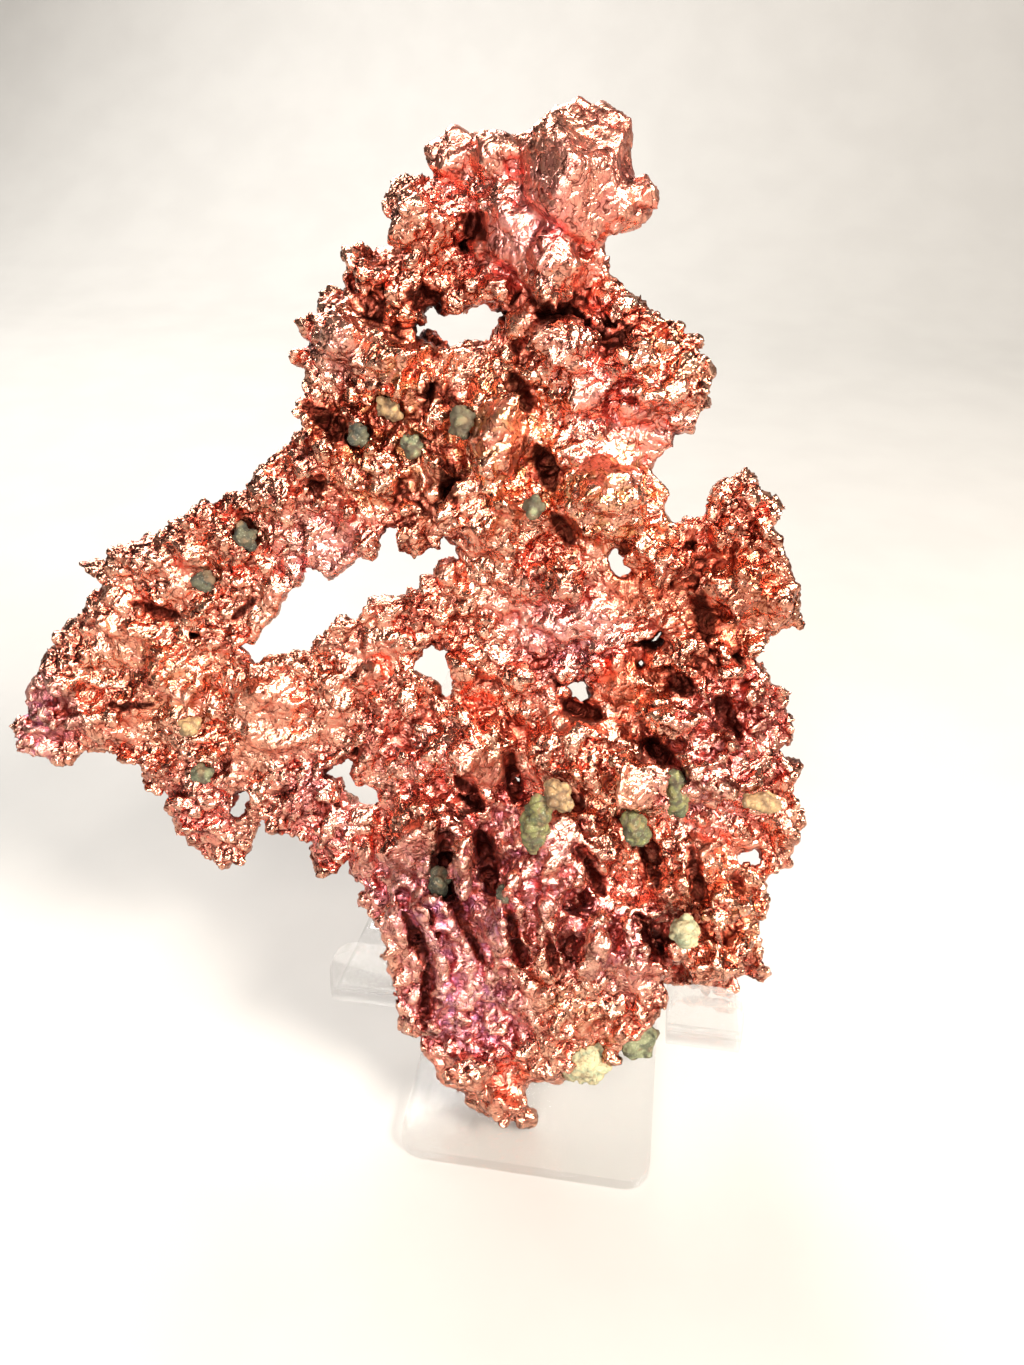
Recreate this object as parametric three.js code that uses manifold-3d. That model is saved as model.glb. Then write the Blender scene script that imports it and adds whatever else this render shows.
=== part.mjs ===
// Native copper: a hackly branching mass with through holes, small matrix pebbles held in its
// pockets, stood upright on a one-piece easel of clear bent acrylic sheet.
// Millimetres, +Z up, the viewer on the -Y side. The origin is the middle of the easel foot's
// underside, on the table.
import * as THREE from 'three';
import { mergeVertices } from 'three/addons/utils/BufferGeometryUtils.js';
import Module from 'manifold-3d';

const wasm = await Module();
wasm.setup();

// Driving dimensions: the specimen's middle plane, which leans back on the easel
const LEAN = THREE.MathUtils.degToRad(11);
const PLANE_Y = -6;
const PLANE_Z = 22;

// The easel's sheet and its outline, across and up the leaned plane
const SHEET = 2.5;
const STAND_WIDTH = 64;
const HOOK_WIDTH = 11;
const TONGUE_WIDTH = 41;
const PANEL_FACE = -13.2;
const PANEL_TOP = 58.5;
const PANEL_TOP_WIDTH = 33;
const TAPER_START = 12;
const SLOT_TOP = 25;
const SHELF_UNDER = -0.93;
const LIP_FRONT = 10;
const LIP_TOP = 11.07;
const FOOT_FRONT = -25;
const FOOT_BACK = 29;
const BEND_RADIUS = 2.75;
const CORNER_RADIUS = 4;

// The copper's thin web, and the plates of its foot, by their depth in front of the plane
const WEB_HALF = 1.6;
const FOOT_BACK_DEPTH = 5;
const FOOT_FRONT_DEPTH = 9;
const CHEEK_BACK_DEPTH = 10.4;
const CHEEK_FRONT_DEPTH = 12.6;

// The gap between touching pieces, the room left beside a bend, and a length past everything
const GAP = 0.3;
const BEND_ROOM = 1.3;
const FAR = 60;

// The specimen is drawn on its own middle plane: x to the right, v up the plane and n towards
// the viewer. A place drawn at (x, v) with a depth n lies on the sight line from EYE, so the
// drawn outline stays the outline seen from there.
const EYE = new THREE.Vector3(13.2, 112.7, 134.9);

function sight(x, v, n) {
  const point = new THREE.Vector3(x, v, 0);
  return point.lerp(EYE, n / EYE.z);
}

// A small repeatable random sequence, so that the piece grows the same way each time.
function sequence(seed) {
  let state = seed >>> 0;
  return () => {
    state = (state + 0x6d2b79f5) >>> 0;
    let t = state;
    t = Math.imul(t ^ (t >>> 15), t | 1);
    t ^= t + Math.imul(t ^ (t >>> 7), t | 61);
    return ((t ^ (t >>> 14)) >>> 0) / 2 ** 32;
  };
}

// Solids and meshes

function merged(geometry) {
  const bare = geometry.clone();
  bare.deleteAttribute('normal');
  bare.deleteAttribute('uv');
  return mergeVertices(bare, 1e-4);
}

function toSolid(geometry) {
  const closed = merged(geometry);
  return new wasm.Manifold(new wasm.Mesh({
    numProp: 3,
    vertProperties: new Float32Array(closed.attributes.position.array),
    triVerts: new Uint32Array(closed.index.array),
  }));
}

function unite(solids) {
  let layer = solids;
  while (layer.length > 1) {
    const next = [];
    for (let i = 0; i < layer.length; i += 2) {
      next.push(i + 1 < layer.length ? layer[i].add(layer[i + 1]) : layer[i]);
    }
    layer = next;
  }
  return layer[0];
}

function toMesh(name, solid, material) {
  const { vertProperties, triVerts } = solid.getMesh();
  const indexed = new THREE.BufferGeometry();
  indexed.setAttribute('position', new THREE.BufferAttribute(new Float32Array(vertProperties), 3));
  indexed.setIndex(new THREE.BufferAttribute(new Uint32Array(triVerts), 1));
  const geometry = indexed.toNonIndexed();
  geometry.computeVertexNormals();
  const mesh = new THREE.Mesh(geometry, material);
  mesh.name = name;
  return mesh;
}

function box(x0, x1, y0, y1, z0, z1) {
  const geometry = new THREE.BoxGeometry(x1 - x0, y1 - y0, z1 - z0);
  geometry.translate((x0 + x1) / 2, (y0 + y1) / 2, (z0 + z1) / 2);
  return toSolid(geometry);
}

// Drawn outlines, as [x, v] in the specimen's plane

const CROWN_EDGE = [
  [9.5, 105.1], [7.3, 104.5], [7.8, 106.3], [6.6, 108], [4.7, 109], [3.1, 112.7], [4.9, 115],
  [6.8, 117.4], [6.2, 119.4], [4.7, 121.5], [4.5, 124.7], [3.9, 127], [2.2, 128.1], [0.5, 127.2],
  [-3.4, 127.5], [-6, 125.3], [-10, 124.1], [-13, 124.3], [-15.4, 125.2], [-18.3, 122.8],
  [-18, 119.9], [-21.3, 118.1], [-23, 118.6], [-23.8, 116.8], [-22.9, 115.5], [-23.3, 112],
  [-25.5, 110.3],
];
const SHOULDER_EDGE = [
  [-26.8, 111.5], [-28.3, 110.1], [-29.6, 108.5], [-29.3, 105.2], [-34.1, 100.8], [-34.8, 97.5],
  [-34.4, 91], [-33.8, 88.3], [-35.8, 85.5],
];
const ARM_EDGE = [
  [-39, 85.2], [-42.4, 83.6], [-43.1, 81.2], [-48.2, 77.3], [-54, 75.3], [-60.8, 72.1],
  [-64.9, 69.6], [-68.6, 65.9], [-68.1, 63.6], [-70.1, 60.7], [-73, 58.7], [-75.6, 55.2],
  [-79.4, 52], [-80.3, 49.6], [-83.9, 45], [-82.8, 41.5], [-80.7, 40.4],
];
const WING_EDGE = [
  [-83, 39.4], [-85.6, 37.4], [-83.6, 35.1], [-81, 33.2], [-77.4, 33.4], [-75.1, 35.6],
  [-68, 36.2], [-64.6, 35], [-64.8, 31.5], [-62.8, 29.4], [-61.2, 30.8], [-58.9, 28.3],
  [-60.6, 24.6], [-58.9, 21.4], [-56.6, 20.2], [-54.9, 20.6], [-55, 18.6], [-52.6, 16.8],
  [-50.9, 19.3], [-47.9, 20.9], [-46.7, 24.9], [-45.4, 27.5], [-43.5, 28.4], [-42.4, 26.8],
  [-41.1, 29.6],
];
const BASE_LEFT_EDGE = [
  [-40.4, 26], [-37.7, 23.6], [-38.4, 18.8], [-34, 18.4], [-31.7, 22.9], [-30.5, 24.2],
  [-32, 18.3], [-29.2, 16.9], [-26.4, 19.4], [-24.6, 19.8], [-27.9, 16.2], [-28.7, 12],
  [-27.4, 8], [-25.4, 5.3],
];
const BASE_RIGHT_EDGE = [
  [20.6, 4], [24, 4.6], [30.4, 4], [32.2, 6], [31.9, 8.7], [34.3, 7.7], [35.8, 10],
  [34.7, 13.2], [34.7, 15.9], [33.4, 18.4], [34.2, 22], [33.6, 24.8], [32.3, 26.2],
  [28.5, 26.1], [25, 27], [26.6, 29.2], [26.7, 30.5], [32.5, 30.6], [33.4, 29.5],
  [30.2, 28.2], [30.6, 27.4], [35.9, 27.4],
  [37.1, 31.4], [37.6, 33.4], [36.4, 37.6], [36.3, 40.9], [34.8, 43.8], [35.2, 46], [32.9, 46.8],
  [34.6, 49.4], [33.4, 53.6], [33.4, 55.5], [32.4, 56.9], [29.3, 58.6], [25.5, 60.7],
];
const TOWER_EDGE = [
  [24.3, 62.8], [25.6, 63.8], [27.5, 63], [28, 65.4], [29.6, 65.6], [32.5, 67.3], [32.3, 69.8],
  [30.6, 73.4], [29.3, 76.9], [28.3, 78.1], [26.2, 77.5], [27.2, 79.5], [26.7, 82.4],
  [24.8, 85.5], [23.3, 87.2], [20.7, 85.4], [19.7, 82.5], [19.6, 80.1],
];
const TRUNK_EDGE = [
  [14.8, 79.1], [12.6, 81.4], [13.5, 83.2], [11.5, 86.3], [12.6, 88], [14.3, 89.5], [13.6, 91],
  [16.2, 91.4], [17.6, 95], [17.6, 100.1], [16.2, 102.4], [13.3, 104.3],
];
const OUTLINE = [
  ...CROWN_EDGE, ...SHOULDER_EDGE, ...ARM_EDGE, ...WING_EDGE, ...BASE_LEFT_EDGE,
  ...BASE_RIGHT_EDGE, ...TOWER_EDGE, ...TRUNK_EDGE,
];

// The foot of the base, which hangs forward of the middle plane between the easel's hooks
const FOOT_OUTLINE = [
  [-25.6, 8], [-24.6, 0], [-24.4, -8], [-24, -12], [-20.6, -12.8], [-17.6, -18.6],
  [-16.4, -22.4], [-11.2, -26], [-8.6, -28.8], [-4.2, -31.2], [-0.6, -29.2], [-1.2, -24.5],
  [-1.2, -19.6], [4.8, -18.8], [9.6, -15.8], [13.4, -11.2], [16.4, -6.4], [20.2, -3.4],
  [20.6, 6], [14, 16], [-18, 16],
];

// The cheek of the foot that laps over the end of the left hook's lip
const CHEEK_OUTLINE = [
  [-26.6, 9.4], [-25.2, 4], [-24.6, -1], [-24.8, -7], [-23.6, -12.4], [-17, -12.6], [-15, 2],
  [-19, 13], [-24, 15],
];

// Through holes, as [x, v]
const WINDOW = [
  [-21.5, 104.1], [-18.8, 100], [-16.9, 99.5], [-13.3, 101.1], [-10.8, 101.2], [-8.3, 104.4],
  [-6.3, 104.6], [-9.9, 105.2], [-17.3, 105.1],
];
const LOOP = [
  [-20.8, 77.4], [-23.2, 76.3], [-25.6, 75.5], [-28, 72.2], [-31, 69.5], [-32.9, 67.2],
  [-34.3, 69.3], [-36.7, 68.6], [-39.4, 64], [-43.4, 59.7], [-45.2, 57.4], [-49.4, 59.3],
  [-49.9, 57.2], [-45.4, 54.7], [-46.2, 51.6], [-43.2, 55.1], [-36.4, 56.9], [-33.4, 60.5],
  [-29.1, 62.2], [-27, 64.7], [-19.5, 66.8], [-17, 70.8], [-14.9, 71.8], [-13.2, 64.6],
  [-12.9, 69.3], [-13.1, 71.9], [-14.7, 74.8], [-17.9, 75.5], [-20, 74.7],
];
const MIDDLE_HOLE = [
  [-21.6, 54.8], [-18.3, 59], [-15, 59.3], [-12.2, 57.1], [-14.6, 53.7], [-15, 49.2],
  [-17.2, 52.9],
];
const WING_HOLE = [
  [-36.3, 36.2], [-31, 40.9], [-29.8, 42.7], [-27.6, 42.3], [-29, 38.9], [-29.9, 35.2],
  [-25.4, 33], [-29.8, 31.7], [-32.4, 31.1], [-33.2, 34.3],
];
const CENTRE_HOLE = [
  [-0.2, 57], [1.3, 55.6], [2.8, 55.5], [5, 57.6], [4.8, 52.6], [1.3, 53.7], [-1.5, 52.4],
  [-1.8, 54.4],
];
const RIGHT_HOLE = [
  [7.4, 59.6], [9.2, 63.6], [9.9, 64.7], [13, 63.4], [15, 66.2], [16.4, 64.4], [15.3, 61.2],
  [12.8, 59], [11.8, 57.9], [10.7, 60.3], [9.9, 60.6], [8.6, 59.4],
];
const EYELET = [[6.8, 75.1], [8.9, 76.1], [10.4, 75.3], [10.8, 73.4], [9.9, 71.4], [7, 71.5]];
const EDGE_HOLE = [[24.2, 55], [24.8, 56.1], [28, 54.5], [25.2, 53.6], [23.8, 53.5]];
const SLIT = [[-51.3, 26.6], [-49, 31.9], [-47.3, 31.1], [-48.8, 26.8]];
const PIN_HOLES = [[-53.9, 57.6], [-64.2, 46.2], [-6.2, 64.6]];
const PIN = [[-1.4, -0.6], [1.2, -1], [1.4, 0.7], [-1, 1]];
const HOLES = [
  WINDOW, LOOP, MIDDLE_HOLE, WING_HOLE, CENTRE_HOLE, RIGHT_HOLE, EYELET, EDGE_HOLE, SLIT,
  ...PIN_HOLES.map(([x, v]) => PIN.map(([dx, dv]) => [x + dx, v + dv])),
];

// The depth of the middle sheet: the branches wave gently, and the foot of the base swells
// forwards between the easel's hooks.
function sheetDepth(x, v) {
  const wave = 0.9 * Math.sin(x / 15 + 0.5) + 0.8 * Math.sin(v / 18 + 1.3);
  const low = THREE.MathUtils.smoothstep(14 - v, 0, 34);
  return wave * (1 - low) + 10.5 * low;
}

// The half thickness of the body of the copper around the middle sheet.
function bodyDepth(x, v) {
  const base = Math.exp(-(((x - 3) / 25) ** 4) - ((v - 20) / 33) ** 4);
  const trunk = Math.exp(-(((x + 2) / 13) ** 4) - ((v - 88) / 17) ** 4);
  const crown = Math.exp(-(((x + 3) / 8) ** 2) - ((v - 118) / 9) ** 2);
  return 2 + 5 * base + 3 * trunk + 2.6 * crown;
}

// A flat drawn shape given thickness along the sight lines, from one depth to another.
function plate(outline, holes, back, front) {
  const shape = new THREE.Shape(outline.map(([x, v]) => new THREE.Vector2(x, v)));
  shape.holes = holes.map((hole) => new THREE.Path(hole.map(([x, v]) => new THREE.Vector2(x, v))));
  const geometry = merged(new THREE.ExtrudeGeometry(shape, { depth: 1, bevelEnabled: false }));
  const position = geometry.attributes.position;
  for (let i = 0; i < position.count; i += 1) {
    const x = position.getX(i);
    const v = position.getY(i);
    const place = sight(x, v, position.getZ(i) > 0.5 ? front : back);
    position.setXYZ(i, place.x, place.y, place.z);
  }
  return toSolid(geometry);
}

// Growth forms: each is a blunt crystal whose corners are moved a little, so its faces stay
// flat but no two are alike.
const FORMS = {
  lump: () => new THREE.IcosahedronGeometry(1, 0),
  crystal: () => new THREE.DodecahedronGeometry(1, 0),
  spike: () => new THREE.OctahedronGeometry(1, 0),
  stone: () => new THREE.OctahedronGeometry(1.2, 0),
  cube: () => new THREE.BoxGeometry(1.35, 1.35, 1.35),
  ridge: () => new THREE.IcosahedronGeometry(1, 0),
};
const TILT = 0.5;
const UNEVEN = 0.15;
const SEED = 911;

function growth(form, x, v, n, rx, rv, rn, turn, random, uneven = UNEVEN) {
  const geometry = merged(FORMS[form]());
  const position = geometry.attributes.position;
  const corner = new THREE.Vector3();
  for (let i = 0; i < position.count; i += 1) {
    corner.fromBufferAttribute(position, i);
    corner.multiplyScalar(1 + uneven * (2 * random() - 1));
    position.setXYZ(i, corner.x, corner.y, corner.z);
  }
  const swing = () => (form === 'ridge' ? TILT * (random() - 0.5) : 2 * Math.PI * random());
  const tumble = new THREE.Euler(swing(), swing(), swing());
  geometry.applyMatrix4(new THREE.Matrix4().makeRotationFromEuler(tumble));
  const near = 1 - n / EYE.z;
  geometry.scale(rx * near, rv * near, rn * near);
  geometry.rotateZ(THREE.MathUtils.degToRad(turn));
  const place = sight(x, v, n);
  geometry.translate(place.x, place.y, place.z);
  return toSolid(geometry);
}

// The main forms, each
// [form, x, v, height above the sheet, half width, half height, half depth, turn]
const CROWN_FORMS = [
  ['crystal', -0.6, 120.2, 1.6, 7.8, 8, 7.2, -8],
  ['lump', 3.8, 117.4, 1.2, 4.4, 4.2, 4.6, 20],
  ['ridge', -6.4, 114.6, 0.8, 5.2, 9.6, 5, 27],
  ['ridge', -2.4, 110.6, 2.2, 4.4, 6.4, 5, 6],
  ['lump', -9.2, 122.4, 0.5, 4.2, 3.4, 3.6, -10],
  ['lump', -15, 121.8, 0, 3.6, 3.3, 3.2, 0],
  ['cube', -18.9, 115.1, 2, 4.2, 4, 4, 0],
  ['spike', -21.4, 116.7, -0.5, 2.6, 2, 2.4, 30],
  ['cube', -20.4, 108.6, 1.2, 2.8, 2.6, 2.8, 0],
  ['spike', 5.4, 106.5, 1, 2.4, 2, 2.4, 0],
];
const SHOULDER_FORMS = [
  ['spike', -26, 107.4, 1.4, 3.2, 3.4, 3, 0],
  ['lump', -28.6, 101, 2.4, 4.8, 4.6, 4.2, 0],
  ['cube', -22.6, 98.6, 2.8, 4.6, 4.8, 4.2, 15],
  ['ridge', -24.8, 84.4, 3.4, 3.2, 5.2, 2.8, 6],
  ['cube', -31.2, 86.2, 1.8, 3, 3.4, 3, 0],
];
const TRUNK_FORMS = [
  ['lump', -1.2, 101, 4, 5, 3.4, 4.2, 0],
  ['cube', 11.6, 98, 1, 5.8, 5.8, 5.4, 0],
  ['ridge', -8.4, 88.6, 5.6, 3.4, 8.6, 3, -6],
  ['ridge', 9.4, 90.6, -1, 5.4, 3.6, 2.4, -24],
  ['lump', 6, 82.6, 5, 6.4, 5.4, 4.6, -12],
  ['cube', -11.2, 79.8, 5, 4.4, 5.2, 4.2, 14],
  ['cube', 0.3, 69.1, 4.2, 3.2, 3.1, 3, 0],
  ['ridge', 4.6, 66.6, 1, 4.6, 2.6, 2, -14],
  ['ridge', 13.4, 75, 2.4, 4.4, 2.6, 3, -24],
];
const ARM_FORMS = [
  ['lump', -53, 71.6, 1.6, 6, 3.8, 3.4, -22],
  ['ridge', -33.4, 72.6, 1.2, 5.4, 2.2, 2.4, -32],
  ['ridge', -62.4, 67.4, 0.6, 5.2, 2.6, 3, -36],
  ['cube', -61.6, 58.6, 1.2, 3.8, 3.4, 3.2, 0],
  ['lump', -76.4, 48.4, 1, 4.6, 3.8, 3.2, -40],
];
const WING_FORMS = [
  ['spike', -81.2, 36.2, 0, 4.2, 2.8, 3, 0],
  ['lump', -71.8, 41.2, 1, 4.4, 3.4, 3, -20],
  ['cube', -57.4, 50.6, 1.8, 5.6, 4.2, 3.4, -30],
  ['lump', -42.6, 49.6, 2, 6.8, 4.2, 3.2, -10],
  ['ridge', -41.4, 42.4, 1.8, 6.6, 2.6, 2.6, 14],
  ['spike', -56.6, 24.6, 0.4, 3.6, 4.4, 3.2, 0],
  ['cube', -32.6, 50.6, 1.2, 3.4, 3.6, 3, 0],
  ['ridge', -27.6, 57.6, 1.4, 6.2, 3.2, 2.6, 28],
  ['spike', -16.2, 66.6, 1.6, 2.8, 5.2, 2.6, -14],
];
const TOWER_FORMS = [
  ['spike', 23.4, 82.2, 0.4, 3.8, 5.2, 3.6, 0],
  ['ridge', 24.2, 70.8, 3, 4.4, 4.8, 2.6, -6],
  ['cube', 29.6, 70, 1, 2.8, 4.2, 2.8, 0],
];
const BASE_FORMS = [
  ['cube', 10, 57, 1, 3.2, 4.6, 2.4, 14],
  ['ridge', 18.6, 61, 1.4, 2.6, 4, 2.6, 0],
  ['spike', 30.4, 53.6, 1, 3, 3.6, 3, 0],
  ['lump', 17.2, 51.6, 4, 5.4, 4.4, 4.2, 0],
  ['lump', 24.4, 42, 5.4, 4.4, 4.4, 4, 0],
  ['ridge', 30.4, 33.6, 4.4, 5, 2.4, 3.6, -3],
  ['cube', 14.2, 39.4, 8, 5.6, 5.8, 4.4, 0],
  ['ridge', -13.2, 41.8, 5.6, 3.2, 4.2, 3.6, 10],
  ['ridge', -7, 34, 7.8, 2.8, 9.4, 3.6, 4],
  ['lump', -34.6, 25.6, 0.6, 4, 4.6, 3.2, 0],
  ['ridge', -13.4, 20.6, 8.6, 2.7, 7.6, 3.4, 2],
  ['ridge', -5.6, 16, 8.8, 3, 7, 3.4, -4],
  ['ridge', 1.4, 9.4, 9.6, 2.7, 9.6, 3.6, 3],
  ['ridge', 8.4, 9, 9.4, 3, 8.6, 3.4, -5],
  ['ridge', 15, 10.2, 8.4, 2.8, 8, 3.4, 4],
  ['lump', 27.8, 20, 6, 5, 4.6, 4, 0],
  ['cube', 27.4, 10.6, 4.6, 5.4, 4.6, 4, 0],
  ['ridge', -18.8, 1.6, 5, 4.2, 8.6, 3.8, 5],
  ['lump', -11.4, -20, 1.8, 3.8, 3.8, 3.2, 0],
  ['cube', -5, -26.6, 0.4, 3.6, 3.6, 2.8, -20],
];
const MAIN_FORMS = [
  ...CROWN_FORMS, ...SHOULDER_FORMS, ...TRUNK_FORMS, ...ARM_FORMS, ...WING_FORMS,
  ...TOWER_FORMS, ...BASE_FORMS,
];

// The large masses that the forms grow on, each
// [x, v, depth, half width, half height, half depth, turn]
const BRANCH_MASSES = [
  [-1, 119, 0.5, 6.2, 8.6, 6, 0], [-8.6, 118, 0, 5, 7, 4.6, 24], [-17.6, 114.6, 0, 5.4, 6, 4.4, 0],
  [-13, 107.8, 0.4, 9.4, 3, 3, -3],
  [-28.6, 101, 0, 6, 7, 4.6, 0], [-22.6, 96.4, 0.4, 5.6, 6, 4.6, 0], [-26.6, 86.6, 0, 7.4, 8.6, 4.4, 0],
  [-9, 90, 0.6, 6, 10.6, 5.6, -6], [1, 97.6, 0.6, 9, 6.4, 5.6, 0], [10.6, 97, -0.4, 7, 7, 5, 0],
  [3, 88, 0, 9.4, 6, 4.6, -10], [-8, 78.6, 0.6, 7.4, 6.6, 5.4, 0], [5.6, 81.4, 1, 8, 6, 5.2, -10],
  [-3, 71.4, 0, 8.6, 5.6, 4.2, 0], [3, 64.4, 0, 9, 5, 3.2, -8], [13.6, 76, 0, 5.6, 3.4, 3.4, -22],
  [-37.4, 79.6, 0, 5.6, 5, 3.8, -30], [-47, 72.6, 0.2, 8, 5.6, 4, -34], [-57, 67, 0, 8, 6, 4, -34],
  [-64.6, 60, 0, 6.4, 6.4, 4, -46], [-72.6, 52, 0, 6.6, 5.8, 3.8, -48],
  [-73, 38.4, 0, 9, 3.2, 2.8, 6], [-56.4, 42, 0, 7, 8, 3.6, 0],
  [-44.6, 46.6, 0, 8.4, 7.6, 3.8, 0], [-32, 51.4, 0, 8.6, 6, 3.6, 26], [-55.4, 29, 0, 6, 8, 3.2, 0],
  [23.2, 70.6, 0.4, 6.6, 6.6, 4.4, 0], [23.4, 81, 0, 3.6, 5.2, 3.4, 0],
];
const BASE_MASSES = [
  [21, 57.4, 0.4, 6.6, 5.4, 4, 0],
  [-20.6, 40.6, 0, 6.6, 5, 5, 30], [-11, 42.6, 0, 9, 10, 7.2, 0], [5, 45, 0.5, 11, 9.6, 8, 0],
  [24, 46.6, 0.3, 9.6, 9.6, 7.6, 0],
  [-31.6, 27, 0, 8, 5.6, 3.6, 20], [-17.4, 27.6, 0.4, 10, 11, 8, 0], [2, 29, 1, 13, 11, 9, 0],
  [21.6, 26, 0.6, 8.6, 9.6, 7.6, 0], [26.6, 13.6, 0.4, 7.6, 8.6, 7, 0],
  [-20.4, 13, 1.4, 7.4, 10, 7, 0], [-6, 12.6, 3, 10, 11.6, 8.8, 0], [11, 12, 3, 9.4, 11, 8.4, 0],
  [-15.6, -2, 5.6, 8, 10, 5.8, 0], [3, -1, 6.4, 11, 10.4, 6.4, 0],
  [-11, -14.6, 7.4, 7.4, 8, 4.8, 0], [1, -11, 7.4, 8, 7.4, 4.6, 0], [-6.4, -24.6, 8.4, 5, 5.4, 3.4, 0],
];

// Crevices and pits, each [x, v, x, v, width, depth below the face]. The face is the body's half
// thickness with the RELIEF of the forms on it, up to FACE.
const CREVICES = [
  [-9.9, 31, -9.2, 14, 1.5, 9], [-16.2, 30, -16.6, 13, 1.9, 8], [-22.4, 22, -22.6, 8, 2, 8],
  [-15, 38.4, -10.8, 33, 2, 9], [5.2, 27, 12.6, 19.4, 1.5, 8], [14.6, 33, 16, 23, 2, 9],
  [-1.7, 20, -2, 3, 1.5, 8], [5, 18, 5.2, 2, 1.5, 8], [20, 35, 27.6, 38.6, 1.5, 7],
  [-1.9, 88, -2.8, 83.6, 2, 8], [-17.4, 96, -20.6, 93.6, 2.2, 6], [-16.4, 87, -16.2, 79, 1.8, 6],
  [-14.6, 113.4, -11.6, 111.6, 3, 7],
];
const RELIEF = 3;
const FACE = 13;

// A tapering wedge sunk into the front of the copper along a drawn line.
function crevice([xa, va, xb, vb, width, depth]) {
  const along = new THREE.Vector2(xb - xa, vb - va);
  const length = along.length();
  const wedge = new THREE.Shape([
    new THREE.Vector2(-length / 2, 0), new THREE.Vector2(0, -width / 2),
    new THREE.Vector2(length / 2, 0), new THREE.Vector2(0, width / 2),
  ]);
  const geometry = merged(new THREE.ExtrudeGeometry(wedge, { depth: FAR, bevelEnabled: false }));
  geometry.rotateZ(along.angle());
  const x = (xa + xb) / 2;
  const v = (va + vb) / 2;
  const face = Math.min(bodyDepth(x, v) + RELIEF, FACE);
  const near = sheetDepth(x, v) + face - depth;
  const place = sight(x, v, near);
  const line = EYE.clone().sub(place).normalize();
  geometry.applyMatrix4(new THREE.Matrix4().makeShear(0, 0, 0, 0, line.x / line.z, line.y / line.z));
  geometry.translate(place.x, place.y, place.z);
  return toSolid(geometry);
}

// The main forks, where one branch ends and the next starts, as drawn lines that run from air
// to air across the copper
const CROWN_FORK = [
  [-30, 116], [-26.6, 112], [-22.8, 106.6], [-20.4, 103.6], [-11, 104.5], [-6.2, 104.5],
  [-1, 104.2], [5, 103.6], [9, 106], [12, 110],
];
const SHOULDER_FORK = [
  [-18, 102.6], [-17.2, 100], [-18.8, 92], [-18, 84], [-20.4, 76.6], [-20.6, 72.6],
];
const ARM_FORK = [[-39, 90], [-36.6, 87], [-31, 81], [-26.2, 74.4], [-24, 71]];
const LOOP_LINE = [
  [-24, 71], [-30, 66], [-34, 64], [-38, 60.5], [-42.5, 57.6], [-45.7, 56], [-48.6, 58],
];
const WING_FORK = [
  [-48.6, 58], [-53.9, 57.6], [-60, 51.8], [-64.2, 46.2], [-72, 43.4], [-80.4, 40.5], [-95, 40],
];
const TWIG_FORK = [[-20.6, 72.6], [-20.4, 69], [-20, 67.6], [-17.4, 62], [-17, 58], [-18.6, 56.6]];
const LOW_WING_FORK = [
  [-18.6, 56.6], [-21.4, 54.4], [-24.4, 48], [-28.2, 42], [-31, 38], [-34.4, 36.4],
  [-38.4, 32.6], [-41.2, 28.4], [-44, 24],
];
const BASE_FORK = [
  [-17, 58], [-12.4, 57.6], [-9.6, 57.4], [-6.2, 56], [-1.4, 55.2], [3.4, 54.6], [4.9, 57],
  [7.6, 60], [9.6, 62], [14.6, 62.4],
];
const TOWER_FORK = [[14.6, 62.4], [15.8, 65.6], [13.6, 70], [16.8, 74], [18.4, 81.2], [18.6, 86]];
const TOWER_FOOT_FORK = [[14.6, 62.4], [19, 63.4], [24.6, 61.8], [30, 61]];
const FORKS = [
  CROWN_FORK, SHOULDER_FORK, ARM_FORK, WING_FORK, TWIG_FORK, LOW_WING_FORK, BASE_FORK,
  TOWER_FORK, TOWER_FOOT_FORK,
];

// Each branch is what lies inside its own drawn region, bounded by the forks and the air, out to
// REACH before and behind the middle plane.
const BRANCHES = {
  copper_crown: [...CROWN_FORK, [60, 140], [-60, 140]],
  copper_shoulder: [...CROWN_FORK.slice(0, 4), ...SHOULDER_FORK, ...ARM_FORK.toReversed(), [-60, 110]],
  copper_trunk: [
    ...CROWN_FORK.slice(4), [40, 109], [40, 100], ...TOWER_FORK.toReversed(),
    ...BASE_FORK.toReversed().slice(1), ...TWIG_FORK.slice(0, -2).toReversed(),
    ...SHOULDER_FORK.toReversed().slice(1),
  ],
  copper_left_arm: [...ARM_FORK, ...LOOP_LINE.slice(1), ...WING_FORK.slice(1), [-95, 90]],
  copper_left_wing: [
    ...WING_FORK.toReversed(), ...LOOP_LINE.toReversed().slice(1), ...TWIG_FORK,
    ...LOW_WING_FORK.slice(1), [-44, 8], [-95, 8],
  ],
  copper_right_tower: [
    ...TOWER_FORK.toReversed(), ...TOWER_FOOT_FORK.slice(1), [60, 61], [60, 100], [40, 100],
  ],
  copper_base: [
    ...BASE_FORK, ...TOWER_FOOT_FORK.slice(1), [60, 61], [60, -60], [-44, -60],
    ...LOW_WING_FORK.toReversed(),
  ],
};
const REACH = 26;

// The thin parting along a fork, so that neighbouring branches stay apart.
function kerf(line) {
  return line.slice(1).map(([xb, vb], i) => {
    const [xa, va] = line[i];
    const half = GAP / 2 / Math.hypot(xb - xa, vb - va);
    const [ox, ov] = [-(vb - va) * half, (xb - xa) * half];
    const [ex, ev] = [(xb - xa) * half, (vb - va) * half];
    return plate([
      [xa - ex + ox, va - ev + ov], [xa - ex - ox, va - ev - ov],
      [xb + ex - ox, vb + ev - ov], [xb + ex + ox, vb + ev + ov],
    ], [], -REACH, REACH);
  });
}

// The easel

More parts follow.
